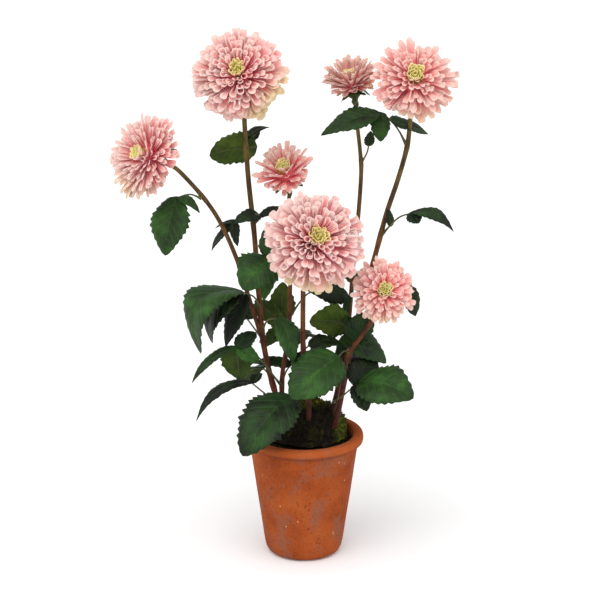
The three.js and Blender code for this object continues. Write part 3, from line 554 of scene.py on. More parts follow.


# Leaves: each one the points of its stalk, then its toothed leaflets. A leaflet is its base, tip, width, the way
# its upper face looks, the height of its arch, and its tone from dark to light; low tones paint shade on leaflets
# in shadow
leafPlan = {"across": 12, "rowsPerTooth": 3, "toothLength": 6.6, "toothDepth": 0.12, "fold": 0.3, "curl": 0.3,
            "veins": 7, "veinLean": 0.3, "bulge": 0.026, "wave": 0.045, "uneven": 0.13, "droop": 0.05,
            "thickness": 0.5, "sink": 2, "stalkRadius": 1.35, "stalkSides": 8, "stalkSteps": 6,
            "ribRadii": (0.95, 0.25), "ribSides": 6, "ribShares": (0, 0.15, 0.3, 0.45, 0.6, 0.75, 0.9), "seed": 3}
leaves = {
    "left_shoulder": ([[-113, 6, 415], [-126, 6, 420], [-140, 2, 417]], [
        [[-140, 2, 417], [-154, -16, 356], 43, [-0.35, -0.85, 0.35], 5, 0.55],
        [[-138, 2, 417], [-114, -12, 404], 14, [0.2, -0.5, 0.85], 5, 0.4]]),
    "left_top": ([[-64, 39, 459], [-65, 50, 470]], [
        [[-54, 50, 464], [-106, 42, 457], 44, [-0.1, 0.9, 0.4], 4, 0.75],
        [[-64, 50, 469], [-50, 64, 478], 18, [0.2, 0.85, 0.3], 2, 0.1],
        [[-65, 50, 470], [-39, 58, 485], 16, [-0.2, -0.3, 0.9], 6, 0.1]]),
    "left_mid": ([[-57, 25, 381], [-49, 19, 391], [-62, 11, 397], [-77, 10, 388]], [
        [[-49, 19, 391], [-20, 32, 399], 12, [0, -0.5, 0.85], 4, -0.05],
        [[-50, 18, 392], [-78, 2, 389], 19, [0.1, -0.6, 0.8], 6, 0],
        [[-77, 9, 388], [-74, 0, 362], 13, [-0.3, -0.9, 0.2], 2, -0.1],
        [[-76, 11, 388], [-100, 26, 376], 9, [0, -0.4, 0.9], 3, 0],
        [[-76, 11, 387], [-106, 32, 348], 14, [-0.3, -0.6, 0.7], 4, -0.1]]),
    "left_front": ([[-53, 19, 338], [-47, 6, 346], [-38, -6, 349]], [
        [[-38, -6, 349], [-68, -30, 322], 50, [-0.25, -0.8, 0.5], 6, 0.5],
        [[-38, -6, 349], [-42, -4, 387], 20, [-0.5, -0.8, 0.2], 3, 0.45],
        [[-38, -6, 349], [-45, -22, 305], 20, [0.2, -0.9, 0.35], 3, 0.5]]),
    "left_wing": ([[-49, 13, 286], [-56, 2, 303], [-70, -5, 311]], [
        [[-70, -5, 311], [-117, -34, 250], 54, [-0.58, -0.5, 0.64], 40, 0.5],
        [[-68, -4, 309], [-104, -8, 252], 42, [-0.5, -0.5, 0.7], 24, -0.05],
        [[-64, -2, 306], [-89, -2, 245], 24, [-0.4, -0.8, 0.4], 6, -0.15]]),
    "left_under": ([[-46, 9, 249], [-56, 14, 262], [-66, 20, 274]], [
        [[-66, 20, 274], [-88, 46, 262], 28, [-0.2, -0.2, 0.95], 5, 0],
        [[-64, 19, 272], [-54, 46, 282], 22, [0.1, -0.3, 0.95], 4, 0.3]]),
    "middle_back": ([[-17, 23, 252], [-22, 34, 256], [-27, 39, 262]], [
        [[-27, 39, 262], [-24, 52, 306], 30, [0.1, 0.95, -0.1], 3, 0.6],
        [[-25, 37, 259], [-56, 52, 284], 28, [-0.2, 0.85, 0.4], 4, 0.5],
        [[-21, 33, 255], [-46, 38, 232], 24, [-0.2, 0.8, 0.5], 4, 0.45]]),
    "middle_left": ([[-25, 13, 193], [-33, 1, 208], [-43, -4, 224], [-58, -9, 242], [-76, -14, 249]], [
        [[-74, -14, 249], [-54, 2, 262], 22, [-0.1, -0.5, 0.85], 3, 0.15],
        [[-74, -14, 248], [-50, -20, 234], 20, [0.2, -0.8, 0.55], 4, 0.55],
        [[-76, -13, 249], [-73, -10, 210], 38, [0.05, 0.8, 0.4], 4, 0.3],
        [[-76, -14, 249], [-126, -36, 216], 18, [-0.35, -0.35, 0.87], 8, 0.35]]),
    "low_left": ([[-30, 2, 179], [-44, -3, 190], [-59, -6, 204]], [
        [[-59, -6, 204], [-122, -31, 169], 20, [-0.3, -0.35, 0.88], 17, 0.15],
        [[-58, -6, 204], [-48, 18, 208], 13, [0, -0.4, 0.9], 3, 0]]),
    "low_back": ([[-25, 14, 196], [-20, 24, 208], [-14, 28, 214]], [
        [[-16, 28, 214], [-58, 36, 214], 22, [0, -0.3, 0.95], 4, 0.1],
        [[-14, 28, 214], [14, 40, 222], 22, [0, -0.3, 0.95], 4, 0]]),
    "front": ([[5, -9, 186], [-4, -18, 196], [-15, -28, 196]], [
        [[-15, -28, 196], [-68, -84, 147], 62, [-0.15, -0.6, 0.78], 12, 0.32]]),
    "arch": ([[-47, 10, 262], [-40, -4, 278], [-28, -13, 282]], [
        [[-28, -13, 282], [-12, -32, 236], 27, [0.3, -0.8, 0.5], 8, 0.5]]),
    "hub": ([[54, 2, 248], [51, 9, 258], [44, 11, 269]], [
        [[52, 11, 267], [6, 14, 271], 60, [0, 0.8, 0.6], 4, 0.55],
        [[45, 11, 268], [55, 15, 308], 16, [-0.8, -0.5, 0.3], 3, 0.2],
        [[52, -2, 256], [77, -10, 288], 30, [0.1, -0.85, 0.5], 5, 0.35],
        [[44, 8, 252], [94, 2, 226], 38, [0.3, -0.5, 0.8], 8, 0.25],
        [[48, 8, 257], [34, 4, 212], 13, [-0.5, -0.8, 0.2], 3, 0.1]]),
    "fore": ([[51, -13, 241], [45, -21, 247], [38, -28, 242]], [
        [[38, -28, 242], [-15, -64, 207], 55, [-0.1, -0.75, 0.65], 8, 0.62]]),
    "level": ([[-1, -10, 244], [7, -8, 250]], [
        [[6, -8, 249], [41, 0, 251], 26, [0, -0.35, 0.93], 4, 0.15]]),
    "middle_right": ([[-16, 26, 272], [-6, 31, 286], [4, 30, 298], [13, 30, 301]], [
        [[13, 30, 301], [55, 48, 284], 34, [0.1, -0.6, 0.78], 8, 0],
        [[12, 30, 301], [20, 68, 282], 28, [0, 0.2, 0.95], 5, 0.1]]),
    "low_right": ([[35, 9, 176], [33, -5, 181], [41, -14, 189], [50, -19, 199], [59, -25, 209]], [
        [[62, -25, 211], [121, -54, 204], 58, [0.25, -0.6, 0.75], 9, 0.45],
        [[58, -25, 208], [70, -46, 185], 24, [0.1, -0.85, 0.5], 4, 0.05],
        [[57, -23, 207], [80, 0, 232], 36, [0.1, -0.8, 0.6], 5, 0.05]]),
    "shade_right": ([[75, -20, 282], [84, -6, 293], [101, 4, 308]], [
        [[112, 4, 316], [126, 8, 278], 23, [0.3, -0.85, 0.4], 3, 0],
        [[97, 2, 303], [90, 38, 300], 26, [0, 0.1, 0.98], 5, 0.1]]),
    "inner_right": ([[43, 17, 214], [50, 24, 226]], [
        [[50, 24, 226], [80, 40, 208], 30, [0.2, -0.3, 0.93], 5, 0.15]]),
    "right_mid": ([[85, 17, 368], [96, 13, 383], [107, 9, 394], [121, 5, 399]], [
        [[96, 13, 383], [93, 20, 402], 11, [0.5, -0.8, 0.3], 1, 0.1],
        [[118, 6, 398], [127, -1, 389], 19, [0.1, -0.8, 0.6], 3, 0.1],
        [[121, 5, 399], [165, -9, 382], 20, [0.1, -0.45, 0.9], 11, 0.15]]),
    "right_top": ([[114, 30, 468], [105, 29, 486], [94, 27, 500], [82, 25, 507]], [
        [[82, 25, 507], [18, 6, 487], 34, [-0.1, -0.5, 0.85], 6, 0.4],
        [[83, 25, 507], [84, 11, 478], 22, [0, -0.95, 0.3], 3, 0.2],
        [[95, 27, 499], [141, 58, 478], 21, [0, -0.6, 0.8], 2, 0.25]]),
    "slim_right": ([[64, 47, 446], [70, 43, 458], [72, 41, 468]], [
        [[72, 41, 468], [74, 36, 485], 12, [0.1, -0.8, 0.6], 2, 0.1]]),
    "back_middle": ([[-21, 19, 228], [-19, 38, 240], [-16, 52, 244]], [
        [[-16, 52, 244], [-12, 100, 214], 42, [0, 0.35, 0.93], 7, 0.4],
        [[-17, 50, 243], [-52, 80, 224], 30, [-0.3, 0.2, 0.93], 5, 0.3],
        [[-15, 50, 243], [22, 82, 226], 30, [0.3, 0.2, 0.93], 5, 0.3]]),
    "back_left": ([[-51, 16, 310], [-47, 36, 322], [-46, 48, 324]], [
        [[-46, 48, 324], [-38, 92, 298], 40, [0, 0.35, 0.93], 6, 0.5],
        [[-46, 46, 324], [-74, 76, 308], 28, [-0.3, 0.2, 0.93], 4, 0.4]]),
    "back_right": ([[66, 8, 302], [66, 34, 314], [66, 48, 316]], [
        [[66, 48, 316], [62, 94, 290], 40, [0, 0.35, 0.93], 6, 0.4],
        [[66, 46, 316], [96, 74, 298], 28, [0.3, 0.2, 0.93], 4, 0.3]]),
    "back_low": ([[39, 14, 196], [46, 34, 206], [50, 46, 208]], [
        [[50, 46, 208], [72, 90, 178], 42, [0.2, 0.3, 0.93], 7, 0.3],
        [[49, 44, 208], [20, 74, 196], 26, [-0.2, 0.3, 0.93], 4, 0.2]]),
    "back_low_left": ([[-35, 3, 198], [-42, 24, 206], [-48, 36, 207]], [
        [[-48, 36, 207], [-72, 78, 176], 42, [-0.2, 0.3, 0.93], 7, 0.3]]),
}


def betweenVeins(spot):  # 0 on the midrib and the side veins, 1 between them
    parts = axisParts(spot)
    fromRib = calc("ABSOLUTE", calc("MULTIPLY_ADD", parts["X"], 2, -1))
    slanted = calc("SUBTRACT", parts["Y"], calc("MULTIPLY", fromRib, leafPlan["veinLean"]))
    phase = calc("PINGPONG", calc("MULTIPLY", slanted, leafPlan["veins"]), 0.5)
    side = calc("SMOOTH_MIN", calc("MULTIPLY", phase, 7), 1, 0.3)
    rib = calc("MINIMUM", calc("MULTIPLY", fromRib, 16), 1)
    return calc("MULTIPLY", side, rib)


def leafMaterial(name, dark, middle, light, vein, roughness, bumpStrength):
    material, shader = startMaterial(name, roughness, 0.2)
    where = objectPlace(material)
    tone = pieceNote(material, "tone")
    between = betweenVeins(sheetPlace(material))
    clouds = grain(where, 45, 4, 0.6)
    # Painted shade: a low tone darkens the whole leaflet where it lies in shadow, and fades its vein lines too
    shaded = calc("MULTIPLY_ADD", tone, 0.62, calc("MULTIPLY_ADD", clouds, 1.05, -0.35))
    green = ramp(shaded, [(0.18, dark), (0.48, middle), (0.78, light)])
    strength = calc("MULTIPLY_ADD", tone, 0.4, 0.08, clamp=True)
    ribbed = calc("MULTIPLY", calc("SUBTRACT", 1, between), strength)
    feed(mixColour(ribbed, green, vein), shader.inputs["Base Color"])
    feed(calc("MULTIPLY_ADD", clouds, 0.25, roughness - 0.12), shader.inputs["Roughness"])
    height = calc("MULTIPLY_ADD", grain(where, 900, 2, 0.6), 0.18, between)
    addBump(shader, height, bumpStrength, 0.0006)
    return material


def leafStalkMaterial():
    material, shader = startMaterial("leafStalk", 0.45, 0.45)
    where = objectPlace(material)
    clouds = grain(where, 70, 3)
    green = ramp(clouds, [(0.3, (46, 50, 26)), (0.5, (70, 78, 36)), (0.7, (98, 92, 44))])
    feed(green, shader.inputs["Base Color"])
    addBump(shader, grain(stretched(where, (1, 1, 0.2)), 700, 2), 0.4, 0.0003)
    return material


def outlineShare(along, blunt):  # blunt: 0 for a narrow leaf with a long point, 1 for a broad round one
    return max(0, math.sin(math.pi * along ** lerp(0.7, 0.8, blunt))) ** lerp(0.85, 0.62, blunt)


def addLeaflet(bm, base, tip, width, faces, arch, tone, draw):
    plan = leafPlan
    start, run = Vector(base), Vector(tip) - Vector(base)
    onward = run.normalized()
    start -= onward * plan["sink"]
    run += onward * plan["sink"]
    up = squaredTo(onward, Vector(faces))
    side = onward.cross(up)
    teeth = max(6, round(run.length / plan["toothLength"]))
    blunt = smooth(width / run.length, 0.45, 0.75)
    swing, ripple = draw.uniform(-1, 1), draw.uniform(0, 6)
    blade = bmesh.ops.create_grid(bm, x_segments=plan["across"], y_segments=teeth * plan["rowsPerTooth"], size=1,
                                  calc_uvs=True)["verts"]
    toneAndShadeLayer = bm.verts.layers.float["tone"]
    for vert in blade:
        across, share = vert.co.x, (vert.co.y + 1) / 2
        fromRib, half = abs(across), math.copysign(width / 2, across)
        body = outlineShare(share, blunt)
        saw = (share * teeth) % 1 if 0.02 < share < 0.98 else 0
        jag = plan["toothDepth"] * (1 + 0.9 * noise.noise(Vector((int(share * teeth) * 1.7, half, ripple))))
        uneven = 1 + plan["uneven"] * noise.noise(Vector((share * 2.2, half, ripple + 5)))
        reach = width / 2 * body * uneven * (1 + jag * (saw * 1.5 - 0.5) * fromRib ** 4)
        phase = (share - plan["veinLean"] * fromRib) * plan["veins"]
        quilted = abs(math.sin(math.pi * phase)) ** 0.8 * (1 - fromRib ** 3) * body * (fromRib > 0.05)
        lift = reach * (plan["fold"] * fromRib ** 1.2 - plan["curl"] * fromRib ** 3)
        lift += plan["bulge"] * width * quilted
        lift += plan["wave"] * width * fromRib ** 2 * body * math.sin(ripple + share * 9 + across * 1.5)
        lift -= plan["droop"] * run.length * share ** 4 * (0.6 + 0.4 * swing)
        sway = 0.02 * run.length * swing * math.sin(math.pi * share)
        point = start + run * share + up * (arch * 4 * share * (1 - share) + lift) + side * (across * reach + sway)
        vert.co = point * mm
        vert[toneAndShadeLayer] = tone
    bmesh.ops.remove_doubles(bm, verts=blade, dist=1e-6)


def addMidrib(bm, base, tip, faces, arch):  # just under the leaflet's upper face
    plan = leafPlan
    run = Vector(tip) - Vector(base)
    rise = squaredTo(run.normalized(), Vector(faces))
    way = []
    for share in plan["ribShares"]:
        lift = arch * 4 * share * (1 - share) - plan["droop"] * run.length * share ** 4 * 0.6 - 0.5
        way.append((Vector(base) + run * share + rise * lift) * mm)
    addBar(bm, way, [mm * lerp(*plan["ribRadii"], share) for share in plan["ribShares"]], plan["ribSides"])


def makeLeaves():
    plan, draw = leafPlan, random.Random(leafPlan["seed"])
    top = leafMaterial("leafTop", (18, 28, 14), (36, 66, 22), (60, 108, 40), (70, 106, 52), 0.5, 0.8)
    under = leafMaterial("leafUnder", (24, 32, 12), (50, 70, 20), (84, 104, 34), (90, 108, 46), 0.65, 0.5)
    stalkSkin = leafStalkMaterial()
    for name, (points, leaflets) in leaves.items():
        blades = bmesh.new()
        blades.loops.layers.uv.new("UVMap")
        blades.verts.layers.float.new("tone")
        for *shape, tone in leaflets:
            addLeaflet(blades, *shape, tone + draw.uniform(-0.15, 0.15), draw)
        piece = newPiece("leaf" + camel(name), blades, [top, under], ["leaf_" + name])
        thicken(piece, plan["thickness"])
        stalk = bmesh.new()
        way = smoothWay([place(point) for point in points], plan["stalkSteps"])
        last = len(way) - 1
        addBar(stalk, way, [plan["stalkRadius"] * mm * (1.5 - 0.7 * smooth(i / last, 0, 0.35) - 0.15 * i / last)
                            for i in range(len(way))], plan["stalkSides"])
        for base, tip, _, faces, arch, _ in leaflets:
            addMidrib(stalk, base, tip, faces, arch)
        newPiece("stalk" + camel(name), stalk, [stalkSkin], ["leaf_" + name])


makeStems()
print("stems drawn")
makeLeaves()
print("leaves cut")


# Blooms: quilled petals all round, a heart of incurved florets and a green calyx with sepals
petalPlan = {"across": 8, "along": 7, "thickness": 0.35, "heartEdge": 20, "rootShare": 0.2, "core": 0.32,
             "rolledTurn": 290, "rolledFlat": 0.9, "seed": 21}
bloomLooks = byBloom({
    "near": (6.8, 4.6, 5.6, 6.6, 4.8, 5.4, 5.2),  # petal width at the heart
    "far": (12.5, 6.8, 7.6, 10.8, 6.8, 8.6, 6.6),  # petal width at the edge
    "gap": (1.16, 1.42, 1.5, 1.2, 1.42, 1.46, 1.36),  # spacing of the petals
    "crown": (0, -0.2, -0.3, 0, 0.1, 0.05, -0.35),  # where the first petals root on the axis
    "tubes": (0.2, 0.1, 0.1, 0.25, 0.1, 0.08, 0.1),  # share of the bloom with quilled petals
    "rolled": (0.32, 0.12, 0.15, 0.42, 0.15, 0.15, 0.1),  # share of these that are full tubes
    "closed": (205, 220, 210, 205, 215, 220, 220),  # how far a quilled petal rolls round, in degrees
    "spoon": (118, 130, 125, 120, 125, 130, 130),  # how far an open one does
    "slim": (0.68, 0.75, 0.72, 0.68, 0.75, 0.72, 0.75),  # width at the root
    "flat": (0.5, 0.6, 0.55, 0.5, 0.5, 0.5, 0.6),  # how flat an open petal lies
    "sharp": (0.3, 1, 1, 0.45, 0.9, 0.7, 1),  # pointed petals
    "ragged": (0.12, 0.17, 0.16, 0.12, 0.16, 0.16, 0.14),  # uneven lengths
    "inner": (0.74, 0.84, 0.92, 0.74, 0.76, 0.66, 0.95),  # reach of the first petals
    "full": (68, 80, 60, 70, 80, 85, 55),  # the angle where the reach is full
    "warm": (0.2, 0.2, 0.4, 0.05, 0.45, 0.45, 0.3),  # strength of this and the next three colours
    "aged": (0.3, 0.1, 0.05, 0.3, 0.1, 0.05, 0.1),
    "dull": (0, 0.15, 0.1, 0, 0.18, 0.22, 0.9),
    "stained": (1, 0.5, 0.2, 1, 0.5, 0.3, 0.6),
    "stain": ((0.8, -0.1, -0.6), (-0.3, 0, -1), (0, 0, -1), (-0.2, 0, -1), (0, 0, -1), (0, 0, -1),
              (1, 0, -0.3)),  # the side where the stain sits
    "pale": ((-0.8, 0, -0.5), (-0.7, 0, -0.4), (0, -0.3, 1), (-0.9, 0, 0.2), (-0.8, 0, -0.5), (0.5, 0, -0.8),
             (-0.8, 0, 0.5)),  # the side where the petals are pale
})
floretStops = [(0.0, (212, 198, 92)), (0.35, (230, 214, 112)), (0.7, (245, 230, 142)), (1.0, (250, 236, 164))]
sepalStops = [(0.0, (58, 70, 34)), (0.5, (52, 74, 40)), (1.0, (74, 84, 52))]
bloomColours = {  # from root to tip, and what a faded tip turns to; of roots and specks, both tones of the grain; the roots' deep rose is partly root colour and partly painted shade in the gaps
    "petalBack": [[(0.0, (250, 110, 126)), (0.25, (251, 132, 145)), (0.45, (251, 161, 169)),
                   (0.66, (249, 186, 188)), (0.86, (240, 200, 196)), (1.0, (228, 203, 198))], (222, 204, 150)],
    "petalThroat": [[(0.0, (250, 106, 118)), (0.3, (251, 130, 136)), (0.55, (251, 160, 162)),
                     (0.8, (248, 184, 181)), (1.0, (238, 200, 193))], (224, 206, 156)],
    "rootsAndGapShade": [(222, 92, 106), (236, 120, 130)],
    "floretBack": [floretStops, (249, 210, 186)], "floretThroat": [floretStops, (240, 216, 150)],
    "heartSpecks": [(120, 110, 36), (176, 164, 60)],
    "sepalBack": [sepalStops, (96, 96, 62)], "sepalInner": [sepalStops, (110, 106, 74)],
}
petalNotes = ("tone", "warm", "aged", "dull")  # what a petal's colour reads


def petalColours(material, spot, stops, pale, paleStops):
    tone, warm, aged, dull = (pieceNote(material, name) for name in petalNotes)
    along = axisParts(spot)["Y"]
    streaks = grain(stretched(spot, (9, 0.9, 1)), 3, 3, 0.6)
    shifted = calc("ADD", calc("MULTIPLY_ADD", streaks, 0.3, -0.15), along)
    deeper = calc("ADD", shifted, calc("MULTIPLY_ADD", tone, 0.36, -0.11), clamp=True)
    colour = ramp(deeper, stops)
    warmed = mixColour(1.0, colour, (255, 239, 226), "MULTIPLY")
    colour = mixColour(calc("MULTIPLY", warm, 0.75), colour, warmed)
    dimmed = mixColour(1.0, colour, (228, 216, 208), "MULTIPLY")
    colour = mixColour(dull, colour, mixColour(0.35, dimmed, (206, 172, 158)))
    paleShare = calc("MULTIPLY_ADD", ramp(along, paleStops), 0.7, 0.2)
    return mixColour(calc("MULTIPLY", aged, paleShare), colour, pale)


def petalMaterial(name, paleStops=((0.55, 0), (0.95, 1))):
    material, shader = startMaterial(name, 0.7, 0.12)
    spot = sheetPlace(material)
    stops, pale = bloomColours[name]
    feed(petalColours(material, spot, stops, pale, paleStops), shader.inputs["Base Color"])
    shader.inputs["Subsurface Weight"].default_value = 0.6
    shader.inputs["Subsurface Radius"].default_value = (1, 1, 1)
    shader.inputs["Subsurface Scale"].default_value = 0.0011
    ribs = grain(stretched(spot, (16, 0.8, 1)), 3, 2, 0.5)
    addBump(shader, ribs, 0.4, 0.0004)
    return material


def coreMaterial(name):
    material, shader = startMaterial(name, 0.8, 0.1)
    first, second = bloomColours[name]
    mottled = ramp(grain(objectPlace(material), 300, 3), [(0.35, first), (0.65, second)])
    feed(mottled, shader.inputs["Base Color"])
    return material


def bloomTurn(bloom):
    return Vector((0, 0, 1)).rotation_difference(Vector(bloom["faces"]).normalized()).to_matrix()


def bloomDirection(angle, turn, depth):
    return Vector((math.sin(angle) * math.cos(turn), math.sin(angle) * math.sin(turn), math.cos(angle) * depth))


def startBloomPart():  # upright at the origin, until it is finished
    bm = bmesh.new()
    bm.loops.layers.uv.new("UVMap")
    for name in petalNotes:
        bm.verts.layers.float.new(name)
    return bm


def finishBloomPart(kind, name, bloom, bm, materials, thickness):
    turned = Matrix.Translation(place(bloom["centre"])) @ bloomTurn(bloom).to_4x4()
    bmesh.ops.transform(bm, verts=bm.verts, matrix=turned)
    piece = newPiece(kind + camel(name), bm, materials, [kind + "_" + name])
    thicken(piece, thickness)


def addPetal(bm, stand, length, mouth, look):
    # a sheet rolled round its own length, its seam towards the heart; wrapRoot and wrapTip in degrees
    petal = bmesh.ops.create_grid(bm, x_segments=petalPlan["across"], y_segments=petalPlan["along"], size=1,
                                  calc_uvs=True)["verts"]
    layers = {name: bm.verts.layers.float[name] for name in petalNotes}
    wrapRoot, wrapTip = math.radians(look["wrapRoot"]), math.radians(look["wrapTip"])
    sheet = mouth / (2 * math.sin(min(wrapTip, math.pi) / 2)) * wrapTip
    for vert in petal:
        u, v = vert.co.x, ((vert.co.y + 1) / 2) ** 0.85
        wrap = lerp(wrapRoot, wrapTip, smooth(v, look["opens"], 1.05))
        radius = sheet * lerp(look["slim"], 1, smooth(v, look["flares"], 0.98)) / wrap
        angle = u * wrap / 2 + look["twist"] * v
        settle = math.sin(wrap / 2) / (wrap / 2)
        rounding = look["cut"] * (1 - math.sqrt(1 - 0.96 * u * u)) * v ** 4
        tip = look["point"] * (1 - abs(u)) ** 1.5 * v ** 5 - look["notch"] * math.exp(-(u / 0.25) ** 2) * v ** 8
        x = -radius * math.sin(angle)
        y = radius * (math.cos(angle) - settle) * look["flat"] + look["bend"] * length * v * v
        z = length * v + mouth * (tip - rounding)
        vert.co = stand @ (Vector((x, y, z)) * mm)
        for key, layer in layers.items():
            vert[layer] = look[key]


def petalStand(direction, outward, root, twist):  # stands on the root, its back turned outward
    upright = direction.normalized()
    back = squaredTo(upright, outward)
    turned = Matrix((back.cross(upright), back, upright)).transposed()
    return Matrix.Translation(root * mm) @ (turned @ Matrix.Rotation(twist, 3, "Z")).to_4x4()


def addCore(bm, size, lift, roughness, grainSize):
    core = bmesh.ops.create_icosphere(bm, subdivisions=3, radius=mm)["verts"]
    bmesh.ops.scale(bm, verts=core, vec=size)
    bmesh.ops.translate(bm, verts=core, vec=(0, 0, lift * mm))
    for vert in core:
        vert.co *= 1 + roughness * noise.noise(vert.co * grainSize)
        for face in vert.link_faces:
            face.material_index = 2  # after the two faces of a petal


def petalReach(angle, bloom, looks):
    degrees = math.degrees(angle)
    front = lerp(looks["inner"], 1, smooth(degrees, 20, looks["full"]))
    back = 1 - (1 - bloom["lastReach"]) * smooth(degrees, bloom["spread"] - 45, bloom["spread"])
    return bloom["radius"] * front * back


def petalLook(looks, share, faced, stain, pale, draw):  # share: 0 at the heart, 1 at the last petals
    opening = smooth(share, looks["tubes"] - 0.15, looks["tubes"] + 0.2) * draw.uniform(0.7, 1)
    rolled = draw.random() < looks["rolled"] * (1 - 0.8 * share)
    closed = petalPlan["rolledTurn"] if rolled else lerp(looks["closed"], looks["spoon"], opening)
    stained = smooth(faced.dot(stain), 0.55, 0.95) * draw.uniform(0.6, 1.2) * looks["stained"]
    return {
        "wrapRoot": lerp(345, 250, looks["sharp"]), "wrapTip": closed + draw.uniform(-15, 20),
        "opens": lerp(0.7, 0.25, opening), "slim": looks["slim"], "flares": lerp(0.3, 0.05, opening),
        "flat": petalPlan["rolledFlat"] if rolled else lerp(0.8, looks["flat"], draw.uniform(0.5, 1)),
        "twist": draw.uniform(-0.4, 0.4) * (1 - opening),
        "bend": lerp(-0.01, 0.04, opening) + draw.uniform(-0.04, 0.03),
        "cut": lerp(draw.uniform(0.4, 0.9), draw.uniform(0.3, 0.6), looks["sharp"]),
        "point": draw.choice((0, 0.3, 0.6)) * opening * looks["sharp"],
        "notch": draw.choice((0, 0.15, 0.3)) * opening,
        "tone": 0.55 * draw.random() + 0.45 * (0.5 + 0.5 * faced.dot(pale)),
        "warm": min(1, looks["warm"] * draw.uniform(0.5, 1.5)), "dull": looks["dull"] * draw.uniform(0.6, 1),
        "aged": min(1, stained + smooth(share, 0.6, 1) * looks["aged"] * draw.uniform(0.3, 1.4))}


def makePetals(name, bloom, materials, draw):
    looks, radius = bloomLooks[name], bloom["radius"]
    bm = startBloomPart()
    spread = math.radians(bloom["spread"])
    edge = math.radians(petalPlan["heartEdge"]) + bloom["heart"] * 0.45
    upright = bloomTurn(bloom).inverted()
    stain, pale = (upright @ Vector(looks[key]).normalized() for key in ("stain", "pale"))
    angle, turn, count = edge, 0, 0
    while angle < spread:  # a spiral from the heart to the back
        share = (angle - edge) / (spread - edge)
        size = lerp(looks["near"], looks["far"], smooth(share, 0, 0.85))
        turn += goldenTurn
        direction = bloomDirection(angle + draw.uniform(-0.1, 0.1), turn + draw.uniform(-0.12, 0.12),
                                   bloom["depth"])
        reach = petalReach(angle, bloom, looks)
        crown = Vector((0, 0, radius * bloom["depth"] * lerp(looks["crown"], -0.1, smooth(share, 0, 0.8))))
        run = direction * reach * (1 + looks["ragged"] * draw.uniform(-1, 0.4)) - crown
        root = crown + run.normalized() * radius * petalPlan["rootShare"]
        outward = Vector((math.cos(turn) * math.cos(angle), math.sin(turn) * math.cos(angle), -math.sin(angle)))
        stand = petalStand(run, outward, root, draw.uniform(-0.35, 0.35))
        look = petalLook(looks, share, direction.normalized(), stain, pale, draw)
        addPetal(bm, stand, run.length - radius * petalPlan["rootShare"], size * draw.uniform(0.9, 1.1), look)
        pitch = size * looks["gap"] / (radius * lerp(reach / radius, 1, 0.6))
        angle += pitch * pitch / (math.tau * math.sin(angle))
        count += 1
    # The core's deep rose fills the gaps between the petals: partly the petals' root colour, partly painted shade
    core = radius * petalPlan["core"]
    addCore(bm, (core, core, core * bloom["depth"]), 0, 0.05, 300)
    finishBloomPart("petals", name, bloom, bm, materials, petalPlan["thickness"])
    return count


heartPlan = {"florets": 30, "width": 0.46, "floor": 0.27, "height": 0.31, "splay": 0.95, "incurve": 0.42,
             "ring": 0.42, "thickness": 0.3, "core": (0.7, 0.45)}


def makeHeart(name, bloom, materials, draw):
    plan = heartPlan
    bm = startBloomPart()
    across = bloom["radius"] * bloom["heart"]
    floor = bloom["radius"] * bloom["depth"] * plan["floor"]
    tall = bloom["radius"] * bloom["depth"] * plan["height"]
    for i in range(plan["florets"]):
        share = math.sqrt((i + 0.5) / plan["florets"])
        turn = i * goldenTurn
        out = Vector((math.cos(turn), math.sin(turn), 0))
        root = out * across * plan["ring"] * share + Vector((0, 0, floor))
        lean = Vector((draw.uniform(-0.1, 0.1), draw.uniform(-0.1, 0.1), 1))
        look = {"wrapRoot": 230, "wrapTip": 140, "bend": -plan["incurve"] * share, "point": 0.15, "notch": 0,
                "cut": 0.5, "opens": 0.2, "slim": 0.6, "flares": 0, "flat": 0.7, "twist": 0, "tone": draw.random(),
                "warm": 0, "aged": smooth(share, 0.4, 0.9) * draw.uniform(0.7, 1.1), "dull": 0}
        stand = petalStand(lean + out * (plan["splay"] * share), out, root, draw.uniform(-0.3, 0.3))
        addPetal(bm, stand, tall * lerp(0.6, 1, share) * draw.uniform(0.85, 1.05),
                 across * plan["width"] * (0.55 + 0.5 * share), look)
    wide, high = plan["core"]
    addCore(bm, (across * wide, across * wide, tall * high), floor, 0.04, 900)
    finishBloomPart("heart", name, bloom, bm, materials, plan["thickness"])


calyxPlan = {"sepals": 8, "length": 0.62, "width": 8.5, "core": 0.4, "turns": 20, "thickness": 0.4}


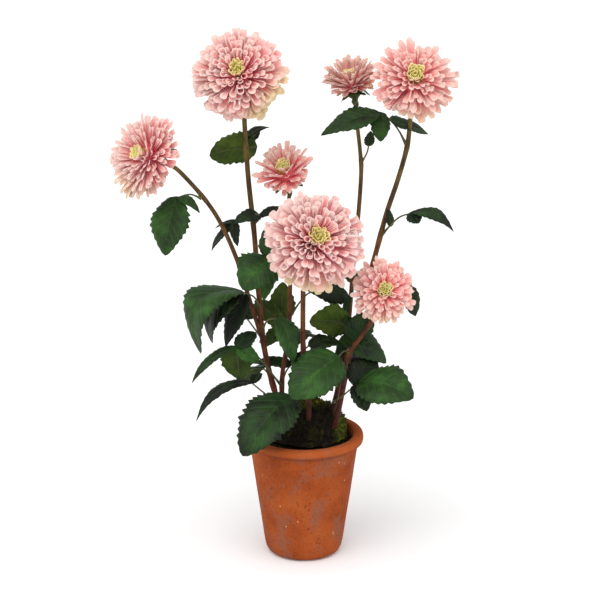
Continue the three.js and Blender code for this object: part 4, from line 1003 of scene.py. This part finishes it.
def makeCalyx(name, bloom, materials, draw):
    plan = calyxPlan
    bm = startBloomPart()
    radius, depth = bloom["radius"], bloom["depth"]
    cover = math.radians(180 - bloom["spread"])
    coreRadius = radius * plan["core"]
    for i in range(plan["sepals"]):  # every other sepal hangs down along the stem
        turn = (i + draw.uniform(-0.2, 0.2)) / plan["sepals"] * math.tau
        hangs = i % 2 == 0
        root = bloomDirection(math.pi - cover * 0.5, turn, depth) * coreRadius
        out = Vector((math.cos(turn), math.sin(turn), 0))
        direction = out * (0.75 if hangs else 0.9) + Vector((0, 0, -0.7 if hangs else -0.05))
        look = {"wrapRoot": 90, "wrapTip": 60, "bend": 0.12 if hangs else -0.12, "point": 0.4, "notch": 0,
                "cut": 0.9, "opens": 0.3, "slim": 0.6, "flares": 0, "flat": 1, "twist": 0, "tone": draw.random(),
                "warm": 0.2, "aged": draw.uniform(0, 0.4), "dull": 0}
        stand = petalStand(direction, Vector((0, 0, -1)), root, draw.uniform(-0.2, 0.2))
        addPetal(bm, stand, radius * plan["length"] * (0.5 if hangs else 0.45) * draw.uniform(0.9, 1.1),
                 plan["width"] * radius / 45, look)
    cup = [(coreRadius * math.sin(cover * share) + out, -coreRadius * depth * math.cos(cover * share) - down)
           for share, out, down in ((0.62, 0, 0), (0.6, 1.4, 1.2), (0.4, 1.5, 2.4))]
    neck = [(bloom["stemTop"] + out, -radius * depth * share)
            for out, share in ((2.2, 0.56), (1, 0.62), (0.5, 0.66))]
    profile = [(0.1, -coreRadius * depth * 0.7)] + cup + neck + [(0.1, -radius * depth * 0.66)]
    spinLine(bm, profile, plan["turns"])
    finishBloomPart("calyx", name, bloom, bm, materials, plan["thickness"])


def makeBlooms():
    draw = random.Random(petalPlan["seed"])
    rooted = ((0.7, 1), (1.0, 0.15))
    petals = [petalMaterial("petalBack"), petalMaterial("petalThroat"), coreMaterial("rootsAndGapShade")]
    florets = [petalMaterial("floretBack", rooted), petalMaterial("floretThroat", rooted),
               coreMaterial("heartSpecks")]
    sepals = [petalMaterial("sepalBack"), petalMaterial("sepalInner")]
    for name, bloom in bloomPlan.items():
        count = makePetals(name, bloom, petals, draw)
        makeHeart(name, bloom, florets, draw)
        makeCalyx(name, bloom, sepals, draw)
        print("bloom", name, "with", count, "petals")


makeBlooms()
